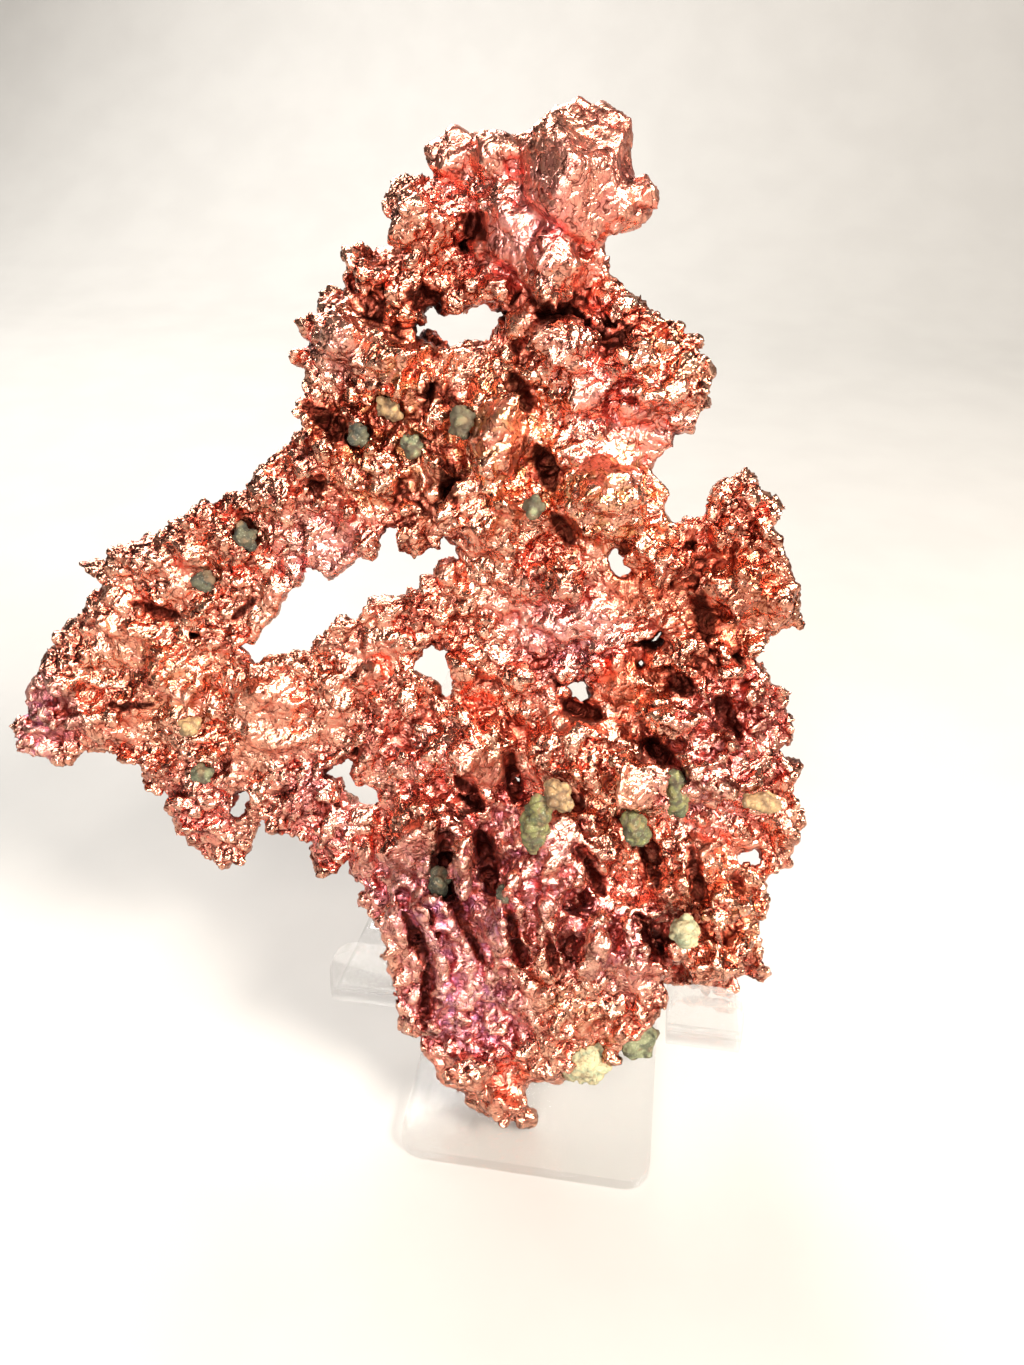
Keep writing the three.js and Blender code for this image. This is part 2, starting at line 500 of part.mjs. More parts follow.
const ACROSS = new THREE.Matrix4().makeBasis(
  new THREE.Vector3(0, 1, 0), new THREE.Vector3(0, 0, 1), new THREE.Vector3(1, 0, 0),
);
const TO_WORLD = new THREE.Matrix4()
  .makeTranslation(0, PLANE_Y, PLANE_Z)
  .multiply(new THREE.Matrix4().makeRotationX(Math.PI / 2 - LEAN));

// A path of straight runs whose inner corners are bent round.
function bentPath(corners, radius, steps = 4) {
  const points = [corners[0]];
  for (let i = 1; i < corners.length - 1; i += 1) {
    const back = corners[i - 1].clone().sub(corners[i]).normalize();
    const on = corners[i + 1].clone().sub(corners[i]).normalize();
    const reach = radius / Math.tan(Math.acos(back.dot(on)) / 2);
    const start = corners[i].clone().addScaledVector(back, reach);
    const end = corners[i].clone().addScaledVector(on, reach);
    const toCentre = back.clone().add(on).normalize();
    const centre = corners[i].clone().addScaledVector(toCentre, Math.hypot(radius, reach));
    const from = start.clone().sub(centre).angle();
    const turn = end.clone().sub(centre).angle() - from;
    const sweep = turn - 2 * Math.PI * Math.round(turn / (2 * Math.PI));
    for (let s = 0; s <= steps; s += 1) {
      const angle = from + (sweep * s) / steps;
      const around = new THREE.Vector2(Math.cos(angle), Math.sin(angle));
      points.push(around.multiplyScalar(radius).add(centre));
    }
  }
  points.push(corners[corners.length - 1]);
  return points;
}

// A strip of the sheet: its bent centre line thickened, and drawn out across the easel.
function strip(path, x0, x1) {
  const sides = [1, -1].map((side) => path.map((point, i) => {
    const before = point.clone().sub(path[Math.max(i - 1, 0)]).normalize();
    const after = path[Math.min(i + 1, path.length - 1)].clone().sub(point).normalize();
    const along = before.add(after).normalize();
    const half = (side * SHEET) / 2;
    return new THREE.Vector2(point.x - half * along.y, point.y + half * along.x);
  }));
  const shape = new THREE.Shape([...sides[0], ...sides[1].reverse()]);
  const geometry = merged(new THREE.ExtrudeGeometry(shape, { depth: x1 - x0, bevelEnabled: false }));
  geometry.translate(0, 0, x0);
  geometry.applyMatrix4(ACROSS);
  return geometry;
}

// A sheet outline with two rounded corners at its free end, drawn in x and v.
function roundedEnd(x0, x1, v0, v1, radius) {
  const shape = new THREE.Shape();
  shape.moveTo(x0, v0);
  shape.lineTo(x1, v0);
  shape.lineTo(x1, v1 - radius);
  shape.absarc(x1 - radius, v1 - radius, radius, 0, Math.PI / 2);
  shape.lineTo(x0 + radius, v1);
  shape.absarc(x0 + radius, v1 - radius, radius, Math.PI / 2, Math.PI);
  return shape;
}

function prism(shape, depth, at, curveSegments = 3) {
  const geometry = merged(new THREE.ExtrudeGeometry(shape, { depth, bevelEnabled: false, curveSegments }));
  geometry.translate(0, 0, at);
  return geometry;
}

// The outline of the easel's back, which narrows towards its rounded top
function backOutline() {
  const half = STAND_WIDTH / 2;
  const top = PANEL_TOP_WIDTH / 2;
  const shape = new THREE.Shape();
  shape.moveTo(-half, -FAR);
  shape.lineTo(half, -FAR);
  shape.lineTo(half, TAPER_START);
  shape.lineTo(top, PANEL_TOP - CORNER_RADIUS);
  shape.absarc(top - CORNER_RADIUS, PANEL_TOP - CORNER_RADIUS, CORNER_RADIUS, 0, Math.PI / 2);
  shape.absarc(CORNER_RADIUS - top, PANEL_TOP - CORNER_RADIUS, CORNER_RADIUS, Math.PI / 2, Math.PI);
  shape.lineTo(-half, TAPER_START);
  return shape;
}

function easel() {
  const half = STAND_WIDTH / 2;
  const middle = PANEL_FACE - SHEET / 2;
  const shelf = SHELF_UNDER + SHEET / 2;
  const lip = LIP_FRONT - SHEET / 2;
  const lipStart = lip - BEND_RADIUS - SHEET;
  const hookPath = bentPath([
    new THREE.Vector2(SLOT_TOP + 1, middle), new THREE.Vector2(shelf, middle),
    new THREE.Vector2(shelf, lip), new THREE.Vector2(LIP_TOP, lip),
  ], BEND_RADIUS);
  const back = toSolid(prism(backOutline(), FAR, lipStart - FAR));
  const panel = toSolid(prism(roundedEnd(-half, half, SLOT_TOP, PANEL_TOP, 1), SHEET, middle - SHEET / 2));
  const leaned = [panel.intersect(back)];
  for (const x0 of [-half, half - HOOK_WIDTH]) {
    const hook = toSolid(strip(hookPath, x0, x0 + HOOK_WIDTH));
    const lipOutline = roundedEnd(x0, x0 + HOOK_WIDTH, -FAR, LIP_TOP, CORNER_RADIUS);
    const lipEnd = toSolid(prism(lipOutline, FAR, lipStart));
    leaned.push(hook.intersect(lipEnd.add(back)));
  }
  const inPlace = unite(leaned).transform(TO_WORLD.elements);

  const bendTop = new THREE.Vector3(0, SLOT_TOP + BEND_RADIUS, middle).applyMatrix4(TO_WORLD);
  const bend = new THREE.Vector3(0, SLOT_TOP, middle).applyMatrix4(TO_WORLD);
  const tonguePath = bentPath([
    new THREE.Vector2(bendTop.y, bendTop.z), new THREE.Vector2(bend.y, bend.z),
    new THREE.Vector2(FOOT_BACK - SHEET / 2, SHEET / 2), new THREE.Vector2(FOOT_FRONT, SHEET / 2),
  ], BEND_RADIUS + 1);
  const tongue = toSolid(strip(tonguePath, -TONGUE_WIDTH / 2, TONGUE_WIDTH / 2));
  const footEnd = prism(
    roundedEnd(-TONGUE_WIDTH / 2, TONGUE_WIDTH / 2, -FAR, -FOOT_FRONT, CORNER_RADIUS), 2 * FAR, -FAR,
  );
  footEnd.applyMatrix4(new THREE.Matrix4().makeScale(1, -1, -1));
  return inPlace.add(tongue.intersect(toSolid(footEnd)));
}

// The room that the easel takes from the copper, with the gap around it, in the leaned axes
function easelRoom() {
  const half = STAND_WIDTH / 2 + GAP;
  const room = [box(-half, half, -FAR, PANEL_TOP + GAP, -FAR, PANEL_FACE + GAP)];
  for (const side of [-1, 1]) {
    const [x0, x1] = [side * half, side * (STAND_WIDTH / 2 - HOOK_WIDTH - GAP)].sort((a, b) => a - b);
    const shelf = SHELF_UNDER + SHEET;
    room.push(box(x0, x1, -FAR, shelf + GAP, -FAR, LIP_FRONT + GAP));
    room.push(box(x0, x1, shelf, shelf + BEND_ROOM, PANEL_FACE, PANEL_FACE + BEND_ROOM));
    room.push(box(x0, x1, shelf, shelf + BEND_ROOM, LIP_FRONT - SHEET - BEND_ROOM, LIP_FRONT));
    room.push(box(x0, x1, -FAR, LIP_TOP + GAP, LIP_FRONT - SHEET - GAP, LIP_FRONT + GAP));
  }
  const side = TONGUE_WIDTH / 2 + GAP;
  const footRoom = box(-side, side, FOOT_FRONT - GAP, FOOT_BACK, -FAR, SHEET + GAP);
  return unite([...room, footRoom.transform(TO_WORLD.clone().invert().elements)]);
}

// Matrix pebbles, each
// [name, x, v, height above the sheet, half width, half height, half depth, turn, colour]
const PEBBLES = [
  ['matrix_cream', 8.6, -13.4, -2.2, 4.6, 4.2, 3.6, 20, 'cream'],
  ['matrix_grey_green', 16.4, -7.2, -1.6, 3.7, 3.7, 3.2, 0, 'greyGreen'],
  ['matrix_moss', -1.6, 31.6, 9.2, 1.9, 5.4, 2.2, -6, 'moss'],
  ['matrix_tan', 1.6, 36.6, 8.6, 1.9, 2.5, 2, 20, 'tan'],
  ['matrix_olive', 13.4, 32.4, 8.4, 1.7, 3.2, 2, 30, 'moss'],
  ['matrix_olive_right', 19, 39.2, 6.6, 1.5, 4.2, 2, 14, 'moss'],
  ['matrix_beige', 31.4, 39, 6.6, 2.7, 1.2, 1.6, -6, 'beige'],
  ['matrix_pale_green', 22.6, 15, 8.6, 2.2, 2.6, 2.2, 10, 'paleGreen'],
  ['matrix_dark_left', -16.6, 19, 6, 1.5, 2.2, 1.9, 0, 'dark'],
  ['matrix_dark_low', -6.2, 18.2, 9.4, 1, 1.5, 1.6, 10, 'dark'],
  ['matrix_shoulder_beige', -23.5, 92.4, 3.4, 1.6, 1.2, 1.5, -20, 'beige'],
  ['matrix_shoulder_green', -20.4, 87.6, 3.8, 1.1, 1.5, 1.4, 0, 'greyGreen'],
  ['matrix_shoulder_dark', -27.9, 88.4, 3.2, 1.2, 1.4, 1.4, 0, 'dark'],
  ['matrix_trunk_green', -13.8, 91, 4.6, 1.2, 2.2, 1.6, 8, 'greyGreen'],
  ['matrix_trunk_small', -3.8, 80.4, 6.6, 0.9, 1.5, 1.3, -14, 'greyGreen'],
  ['matrix_arm_dark', -45, 73.4, 3.2, 1.3, 1.8, 1.5, 36, 'dark'],
  ['matrix_arm_low', -51.8, 66.2, 3.4, 1.4, 1.1, 1.4, 10, 'dark'],
  ['matrix_wing_grey', -55.2, 34, 3.8, 1.5, 1.4, 1.5, 0, 'greyGreen'],
  ['matrix_wing_pale', -56.4, 42.2, 3.6, 1.5, 1.2, 1.4, 20, 'beige'],
];

const COLOURS = {
  cream: 0xd9d2a8, greyGreen: 0x8c9c84, moss: 0x857f4e, tan: 0xb08a58, beige: 0xc9b184,
  paleGreen: 0xb4b98a, dark: 0x3b3a2a,
};

const SOCKET_ROOM = 0.5;
const LARGE_STONE = 2.5;
const STONE_UNEVEN = 0.08;

// A stone that fills a pocket; the pocket is the same stone, larger by the room around it.
function pebble(name, x, v, above, radii, turn, larger) {
  const form = Math.max(...radii) > LARGE_STONE ? 'lump' : 'stone';
  const [rx, rv, rn] = radii.map((radius) => radius * larger);
  const random = sequence(name.length);
  return growth(form, x, v, sheetDepth(x, v) + above, rx, rv, rn, turn, random, STONE_UNEVEN);
}

// The main body of a cut branch, without the crumbs that the cuts leave beside it.
function largest(solid) {
  const bodies = solid.decompose().sort((a, b) => b.volume() - a.volume());
  return bodies[0];
}

function build() {
  const random = sequence(SEED);
  const web = plate(OUTLINE, HOLES, -WEB_HALF, WEB_HALF);
  const foot = plate(FOOT_OUTLINE, [], FOOT_BACK_DEPTH, FOOT_FRONT_DEPTH);
  const cheek = plate(CHEEK_OUTLINE, [], CHEEK_BACK_DEPTH, CHEEK_FRONT_DEPTH);
  const forms = MAIN_FORMS.map(([form, x, v, above, rx, rv, rn, turn]) => (
    growth(form, x, v, sheetDepth(x, v) + above, rx, rv, rn, turn, random)
  ));
  const mass = ([x, v, n, rx, rv, rn, turn]) => growth('ridge', x, v, n, rx, rv, rn, turn, random);
  const masses = [...BRANCH_MASSES, ...BASE_MASSES].map(mass);
  const whole = unite([web, foot, cheek, ...masses, ...forms]);

  const pebbles = PEBBLES.map(([name, x, v, above, rx, rv, rn, turn, colour]) => ({
    name,
    colour,
    stone: pebble(name, x, v, above, [rx, rv, rn], turn, 1),
    socket: pebble(name, x, v, above, [rx, rv, rn], turn, 1 + SOCKET_ROOM / Math.min(rx, rv, rn)),
  }));
  const cuts = unite([
    ...CREVICES.map(crevice), ...FORKS.flatMap(kerf), ...pebbles.map(({ socket }) => socket), easelRoom(),
  ]);
  const cut = whole.subtract(cuts);
  const specimen = new THREE.Group();
  specimen.position.set(0, PLANE_Y, PLANE_Z);
  specimen.rotation.x = Math.PI / 2 - LEAN;
  const copper = new THREE.MeshStandardMaterial({ color: 0xc07262, roughness: 0.38, metalness: 0.85 });
  const clear = new THREE.MeshStandardMaterial({
    color: 0xeef0ee, roughness: 0.06, metalness: 0, transparent: true, opacity: 0.35,
  });
  for (const [name, region] of Object.entries(BRANCHES)) {
    const branch = largest(cut.intersect(plate(region, [], -REACH, REACH)));
    specimen.add(toMesh(name, branch, copper));
  }
  for (const { name, colour, stone } of pebbles) {
    const rock = new THREE.MeshStandardMaterial({ color: COLOURS[colour], roughness: 0.85, metalness: 0 });
    specimen.add(toMesh(name, stone, rock));
  }
  const piece = new THREE.Group();
  piece.add(specimen);
  piece.add(toMesh('display_stand', easel(), clear));
  return piece;
}

export default build();
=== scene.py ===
"""Native copper on a clear bent easel: the looks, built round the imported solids.

Every copper branch keeps the shape of its solid and takes on the growth that the real metal has:
knobs and small crystals, crinkled skin, and pits. The stones fill their pockets, and the easel is
one clear bent sheet. Sizes are in millimetres, apart from the studio's, which are in metres like
every mesh.
"""
import logging
import math
from dataclasses import dataclass, field
from enum import Enum

import bmesh
import bpy
import numpy as np
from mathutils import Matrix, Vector


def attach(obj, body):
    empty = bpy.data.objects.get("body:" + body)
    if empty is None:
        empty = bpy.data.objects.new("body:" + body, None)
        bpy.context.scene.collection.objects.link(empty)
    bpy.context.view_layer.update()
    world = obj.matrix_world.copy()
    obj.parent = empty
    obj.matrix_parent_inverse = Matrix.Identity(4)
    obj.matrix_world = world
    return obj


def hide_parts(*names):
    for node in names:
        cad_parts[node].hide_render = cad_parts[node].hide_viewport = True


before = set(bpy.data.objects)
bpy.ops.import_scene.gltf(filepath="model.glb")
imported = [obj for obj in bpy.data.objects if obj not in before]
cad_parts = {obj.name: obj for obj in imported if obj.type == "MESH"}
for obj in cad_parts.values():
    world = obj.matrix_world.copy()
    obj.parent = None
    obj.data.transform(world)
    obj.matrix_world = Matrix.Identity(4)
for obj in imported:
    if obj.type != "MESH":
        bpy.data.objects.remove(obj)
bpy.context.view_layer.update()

MM = 0.001
BODY = "root"
LOG = logging.getLogger("native_copper")

# The specimen's middle plane, which leans back on the easel, and the point that its outline was
# drawn from, as in the part
LEAN = math.radians(11)
PLANE_ORIGIN = np.array([0.0, -6.0, 22.0])
PLANE_AXES = np.array([
    [1.0, 0.0, 0.0],
    [0.0, math.sin(LEAN), math.cos(LEAN)],
    [0.0, -math.cos(LEAN), math.sin(LEAN)],
])
EYE = np.array([13.2, 112.7, 134.9])


def linear(code: str, alpha: float = 1.0) -> tuple[float, float, float, float]:
    """Turn an sRGB hex colour into the linear values that a shader socket holds.

    Args:
        code: Six hex digits, with or without a leading #.
        alpha: The fourth value.

    Returns:
        Linear red, green, blue and alpha.
    """
    digits = code.lstrip("#")
    channels = [int(digits[i:i + 2], 16) / 255 for i in (0, 2, 4)]
    flat = [c / 12.92 if c <= 0.04045 else ((c + 0.055) / 1.055) ** 2.4 for c in channels]
    return (flat[0], flat[1], flat[2], alpha)


def drawn(points: np.ndarray) -> np.ndarray:
    """Find where places on the specimen are seen on its middle plane.

    Args:
        points: Places in the row frame, in millimetres, one per row.

    Returns:
        x to the right and v up the plane, one pair per row.
    """
    local = (points - PLANE_ORIGIN) @ PLANE_AXES.T
    reach = EYE[2] / np.maximum(EYE[2] - local[:, 2], 1.0)
    return (EYE + (local - EYE) * reach[:, None])[:, :2]


class Grain:
    """Repeatable noise in space, which gives hills and cells of about one unit."""

    TABLE = 256

    def __init__(self, seed: int) -> None:
        """Shuffle the tables that the noise reads.

        Args:
            seed: The same seed gives the same noise.
        """
        random = np.random.default_rng(seed)
        self.order = random.permutation(self.TABLE)
        arrows = random.normal(size=(self.TABLE, 3))
        self.arrows = arrows / np.linalg.norm(arrows, axis=1, keepdims=True)
        self.seats = random.random((self.TABLE, 3))

    def _hash(self, cell: np.ndarray) -> np.ndarray:
        """Give each whole-numbered cell its place in the tables."""
        wrapped = cell & (self.TABLE - 1)
        first = self.order[wrapped[:, 0]]
        second = self.order[(first + wrapped[:, 1]) & (self.TABLE - 1)]
        return self.order[(second + wrapped[:, 2]) & (self.TABLE - 1)]

    def hills(self, places: np.ndarray) -> np.ndarray:
        """Smooth noise from about -1 to 1.

        Args:
            places: Places in noise units, one per row.

        Returns:
            One height per place.
        """
        cell = np.floor(places).astype(np.int64)
        part = places - cell
        ease = part ** 3 * (part * (part * 6 - 15) + 10)
        total = np.zeros(len(places))
        for corner in np.ndindex(2, 2, 2):
            step = np.array(corner)
            arrow = self.arrows[self._hash(cell + step)]
            weight = np.prod(np.where(step, ease, 1 - ease), axis=1)
            total += weight * np.einsum("ij,ij->i", arrow, part - step)
        return total * 1.6

    def facets(self, places: np.ndarray) -> np.ndarray:
        """Flat slopes that break off against each other, as on torn metal.

        Args:
            places: Places in noise units, one per row.

        Returns:
            One height per place.
        """
        cell = np.floor(places).astype(np.int64)
        first = np.full(len(places), 9.0)
        height = np.zeros(len(places))
        for offset in np.ndindex(3, 3, 3):
            near = cell + np.array(offset) - 1
            key = self._hash(near)
            away = places - near - self.seats[key]
            gap = np.linalg.norm(away, axis=1)
            closer = gap < first
            first = np.where(closer, gap, first)
            slope = np.einsum("ij,ij->i", self.arrows[key], away)
            height = np.where(closer, slope, height)
        return height

    def cells(self, places: np.ndarray) -> tuple[np.ndarray, np.ndarray]:
        """Distances to the nearest and the second nearest of the scattered seats.

        Args:
            places: Places in noise units, one per row.

        Returns:
            The two distances of each place.
        """
        cell = np.floor(places).astype(np.int64)
        first = np.full(len(places), 9.0)
        second = np.full(len(places), 9.0)
        for offset in np.ndindex(3, 3, 3):
            near = cell + np.array(offset) - 1
            seat = near + self.seats[self._hash(near)]
            gap = np.linalg.norm(seat - places, axis=1)
            second = np.minimum(second, np.maximum(first, gap))
            first = np.minimum(first, gap)
        return first, second

    def bent(self, places: np.ndarray, size: float, reach: float,
             shifts: tuple[int, int, int]) -> np.ndarray:
        """Move places about, so that a pattern that is read there comes out bent.

        Args:
            places: Places in millimetres, one per row.
            size: The size of a bend.
            reach: About how far a place moves.
            shifts: What keeps the moves along the three axes apart.

        Returns:
            The moved places.
        """
        moves = [self.hills(places / size + shift) for shift in shifts]
        return places + reach * np.stack(moves, axis=1)


BROAD = Grain(11)
FINE = Grain(23)


def beside(seen: np.ndarray, start: tuple[float, float],
           end: tuple[float, float]) -> tuple[np.ndarray, np.ndarray]:
    """Find where seen places lie beside a drawn line.

    Args:
        seen: Places on the middle plane, one pair per row.
        start: The line's first end.
        end: Its other end.

    Returns:
        How far along the line each place is, from 0 to 1, and how far from it.
    """
    along = np.subtract(end, start)
    share = np.clip((seen - start) @ along / (along @ along), 0, 1)
    return share, np.linalg.norm(seen - start - share[:, None] * along, axis=1)


@dataclass(frozen=True)
class Spot:
    """A round patch on the copper, placed by where it is seen on the middle plane."""

    x: float
    v: float
    radius: float
    strength: float = 1.0

    def cover(self, seen: np.ndarray) -> np.ndarray:
        """How far each seen place lies in the patch: wholly in its inner half, and then less."""
        away = np.hypot(seen[:, 0] - self.x, seen[:, 1] - self.v) / self.radius
        return self.strength * np.clip(1.5 - away, 0, 1)


@dataclass(frozen=True)
class Fissure:
    """A crevice in the front of the copper, along a line drawn on the middle plane."""

    x_from: float
    v_from: float
    x_to: float
    v_to: float
    width: float = 1.2

    def cover(self, seen: np.ndarray) -> np.ndarray:
        """How much of the crevice each seen place lies in, from 0 beside it to 1 at its middle."""
        share, away = beside(seen, (self.x_from, self.v_from), (self.x_to, self.v_to))
        # Its ends are about a third as wide as its middle
        taper = 0.35 + 0.65 * np.sqrt(np.clip(4 * share * (1 - share), 0, 1))
        return np.exp(-(away / (self.width * taper)) ** 2)


def strongest(seen: np.ndarray, marks: list[Spot] | list[Fissure]) -> np.ndarray:
    """How much of any of several patches or crevices each seen place lies in."""
    cover = np.zeros(len(seen))
    for mark in marks:
        cover = np.maximum(cover, mark.cover(seen))
    return cover


# Where the copper is smooth and sheet-like rather than knobbly
SMOOTH = [
    Spot(-1, 119, 9, 1.0), Spot(-8, 113, 6, 0.9), Spot(-9, 90, 6.5, 0.75), Spot(9, 90, 6, 0.8),
    Spot(-44, 47, 8, 0.7), Spot(6, 66, 5, 0.8), Spot(8, 70, 5, 0.8), Spot(9, 57, 4, 0.8),
    Spot(-32, 71, 5, 0.6), Spot(2, 97, 5, 0.4), Spot(-15, 122, 3.6, 0.8), Spot(-9, 122, 4, 0.8),
    Spot(-19, 114, 3.6, 0.5), Spot(-28.6, 101, 4, 0.6), Spot(-22, 97, 4, 0.5), Spot(7, 82, 6, 0.55),
    Spot(-58, 50, 7, 0.6), Spot(-66, 62, 6, 0.5), Spot(-76, 48, 5, 0.5), Spot(23, 71, 4.6, 0.5),
    Spot(-16, 6, 9, 0.55), Spot(-8, 14, 7, 0.4), Spot(4, 12, 7, 0.35), Spot(-30, 52, 6, 0.5),
    Spot(0.5, 69, 3, 0.6), Spot(-24, 10, 5, 0.6), Spot(27, 69, 5, 0.6), Spot(12, 98, 4, 0.4),
    Spot(3, 127, 7, 0.9), Spot(9, 120, 6, 0.9), Spot(-4.6, -23, 6, 0.8), Spot(2, 110, 5, 0.7),
    Spot(-13, 125, 4, 0.8),
]
# Where small beads and knobs crowd together
KNOBBLY = [
    Spot(-17, 108, 6), Spot(-27, 105, 5), Spot(-19, 116, 4, 0.7), Spot(4, 103, 5, 0.8),
    Spot(13, 99, 6, 0.8), Spot(-30, 92, 6), Spot(-38, 80, 6), Spot(-50, 76, 6), Spot(18, 74, 5),
    Spot(24, 80, 6), Spot(28, 66, 6, 0.7), Spot(30, 50, 8), Spot(20, 56, 6), Spot(28, 16, 8),
    Spot(-60, 30, 8, 0.7), Spot(-36, 26, 6, 0.7), Spot(-78, 50, 6, 0.7), Spot(-4, 72, 5, 0.6),
]
# Where the metal is a deeper, rustier red
RUSTY = [
    Spot(24, 72, 9, 0.9), Spot(20, 60, 6, 0.7), Spot(-50, 77, 7, 0.6), Spot(29, 50, 8, 0.5),
    Spot(-17, 108, 6, 0.7), Spot(-28, 90, 7, 0.6), Spot(2, 73, 6, 0.7), Spot(-62, 30, 8, 0.4),
    Spot(-14, 112, 4, 0.8), Spot(10, 70, 4, 0.5), Spot(-78, 46, 6, 0.5), Spot(-2, 104, 5, 0.5),
]
# Where the tarnish is plum and mauve
PLUM = [
    Spot(-14, 12, 12, 1.0), Spot(-4, 24, 12, 0.75), Spot(-12, -6, 10, 1.0), Spot(10, 12, 10, 0.6),
    Spot(22, 42, 8, 0.5), Spot(-82, 43, 6, 1.0), Spot(-84, 36, 4, 0.8), Spot(-30, 99, 4, 0.4),
    Spot(2, 62, 6, 0.35), Spot(26, 50, 8, 0.5),
]
# Where it is a clear rose pink
ROSE = [
    Spot(8, 91, 9, 1.0), Spot(-6.5, 115, 7, 1.0), Spot(0, 119, 9, 0.5), Spot(-14, 120, 5, 0.6),
    Spot(-33, 71, 7, 1.0), Spot(-34, 30, 9, 0.9), Spot(2, 63, 9, 0.9), Spot(-26, 20, 8, 0.7),
    Spot(-55, 28, 8, 0.5), Spot(-20, 40, 8, 0.6), Spot(2, 101, 6, 0.6),
]
# Where thin sheets glow a clear orange red
EMBER = [Spot(9, 57, 3.4, 0.85), Spot(10.5, 70, 3.6, 0.765), Spot(-27, 26, 3, 0.425)]
# Where it turns orange and gold
GOLD = [
    Spot(-9, 88, 9, 0.9), Spot(6, 82, 8, 1.0), Spot(12, 99, 6, 0.6), Spot(-26, 88, 8, 0.9),
    Spot(-24, 98, 6, 0.7), Spot(24, 70, 8, 0.6), Spot(8, 34, 8, 0.5), Spot(12, 56, 5, 0.5),
    Spot(10, 70, 4, 0.8), Spot(28, 18, 8, 0.6), Spot(4, 0, 8, 0.4), Spot(-60, 50, 10, 0.4),
    Spot(0.5, 69, 3, 0.6),
]
TINTS = {"rust_and_shade": RUSTY, "plum": PLUM, "rose": ROSE, "gold": GOLD, "ember": EMBER}

# The mostly upright crevices between the ridges, cut into the skin and darkened with painted shade
FISSURES = [
    Fissure(-14, 37.9, -10, 33.2, 1.6), Fissure(-10.2, 29, -8.1, 18.7),
    Fissure(-15.6, 26.4, -16, 15.5), Fissure(-5.7, 43.1, -5.1, 35.5, 0.9),
    Fissure(4.9, 28.1, 9.4, 20.3), Fissure(1.3, 39.3, 5, 35.1), Fissure(11, 34.8, 14.6, 32.5),
    Fissure(14.6, 32.5, 17.5, 22.5, 1.4), Fissure(14, 47.3, 17.6, 44),
    Fissure(17, 56.8, 19.4, 55.1, 1.6), Fissure(-22.5, 12.3, -18.7, 1.6),
    Fissure(-18.7, 1.6, -19.3, -11, 0.9), Fissure(-15.2, 17.1, -9.3, 4.2),
    Fissure(-5.8, 16.3, -2.5, 4.1, 1.0), Fissure(1.1, 11.5, 2.8, 3.7, 0.9),
    Fissure(14.8, 16.9, 19, 9.7), Fissure(-7, 97.2, -4.9, 93, 1.5),
    Fissure(-3.7, 88.5, -1.3, 83.1, 1.6), Fissure(-16.7, 85.9, -14.7, 79.9, 1.5),
    Fissure(-19.4, 95.5, -14.8, 93.4), Fissure(-1.2, 79.6, 1.7, 75.8),
    Fissure(-13.9, 115.7, -11.2, 113.3, 1.6), Fissure(-21.3, 106.7, -16.7, 105.6, 1.6),
    Fissure(-35.8, 92.5, -28.8, 87.8, 1.6), Fissure(19.3, 70.5, 21.1, 63.4),
    Fissure(23.6, 54.6, 27.1, 48.7), Fissure(1.1, 52.4, 7, 50.5), Fissure(21.8, 30.6, 24.2, 21),
    Fissure(-64, 62, -56, 60.4, 0.9), Fissure(-70, 44.4, -62, 45.4, 0.8),
    Fissure(-48, 60.6, -43.6, 64.6, 0.9), Fissure(13.4, 91.6, 17.4, 88.2, 0.9),
    Fissure(-5, 106.2, 1.4, 104.6, 1.2),
]
# How soon a crevice is at its deepest where the skin turns to the front
FRONT_GAIN = 2.5
# The forks where one branch grows out of another, as drawn lines
FORKS = [
    [(-30, 116), (-22.8, 106.6), (-21.2, 104.4)], [(-4.6, 104.5), (5, 103.6), (9, 106), (12, 110)],
    [(-17.6, 98.4), (-18.8, 92), (-18, 84), (-20.4, 76.6), (-20.6, 73.4)],
    [(-39, 90), (-31, 81), (-24, 71)],
    [(-48.6, 58), (-53.9, 57.6), (-60, 51.8), (-64.2, 46.2), (-72, 43.4), (-80.4, 40.5), (-95, 40)],
    [(-20, 68), (-17.6, 62.6)],
    [(-21.8, 53.4), (-24.4, 48), (-31, 38), (-34.4, 36.4), (-38.4, 32.6), (-44, 24)],
    [(-12.6, 57.6), (-9.6, 57.4), (-6.2, 56), (-2.4, 55.4)], [(5.6, 57.8), (9.6, 62), (14.6, 62.4)],
    [(14.6, 62.4), (15.8, 65.6), (13.6, 70), (16.8, 74), (18.4, 81.2), (18.6, 86)],
    [(14.6, 62.4), (19, 63.4), (24.6, 61.8), (30, 61)],
]
FORK_WIDTH = 1.5


def at_forks(seen: np.ndarray) -> np.ndarray:
    """How near each seen place is to a fork, from 0 to 1, where the branches knit together."""
    cover = np.zeros(len(seen))
    for line in FORKS:
        for start, end in zip(line, line[1:]):
            _, away = beside(seen, start, end)
            cover = np.maximum(cover, np.clip(2 - away / FORK_WIDTH, 0, 1))
    return cover


def fissured(seen: np.ndarray, facing: np.ndarray) -> np.ndarray:
    """How deep in a crevice each seen place lies, on the front of the copper only."""
    return strongest(seen, FISSURES) * np.clip(facing @ PLANE_AXES[2] * FRONT_GAIN, 0, 1)


# How calm the skin is outside the patches above: a little everywhere, and more in some stretches
# of this many millimetres
PLAIN_CALM = 0.2
DRIFT_CALM = 0.55
DRIFT_MM = 8.5


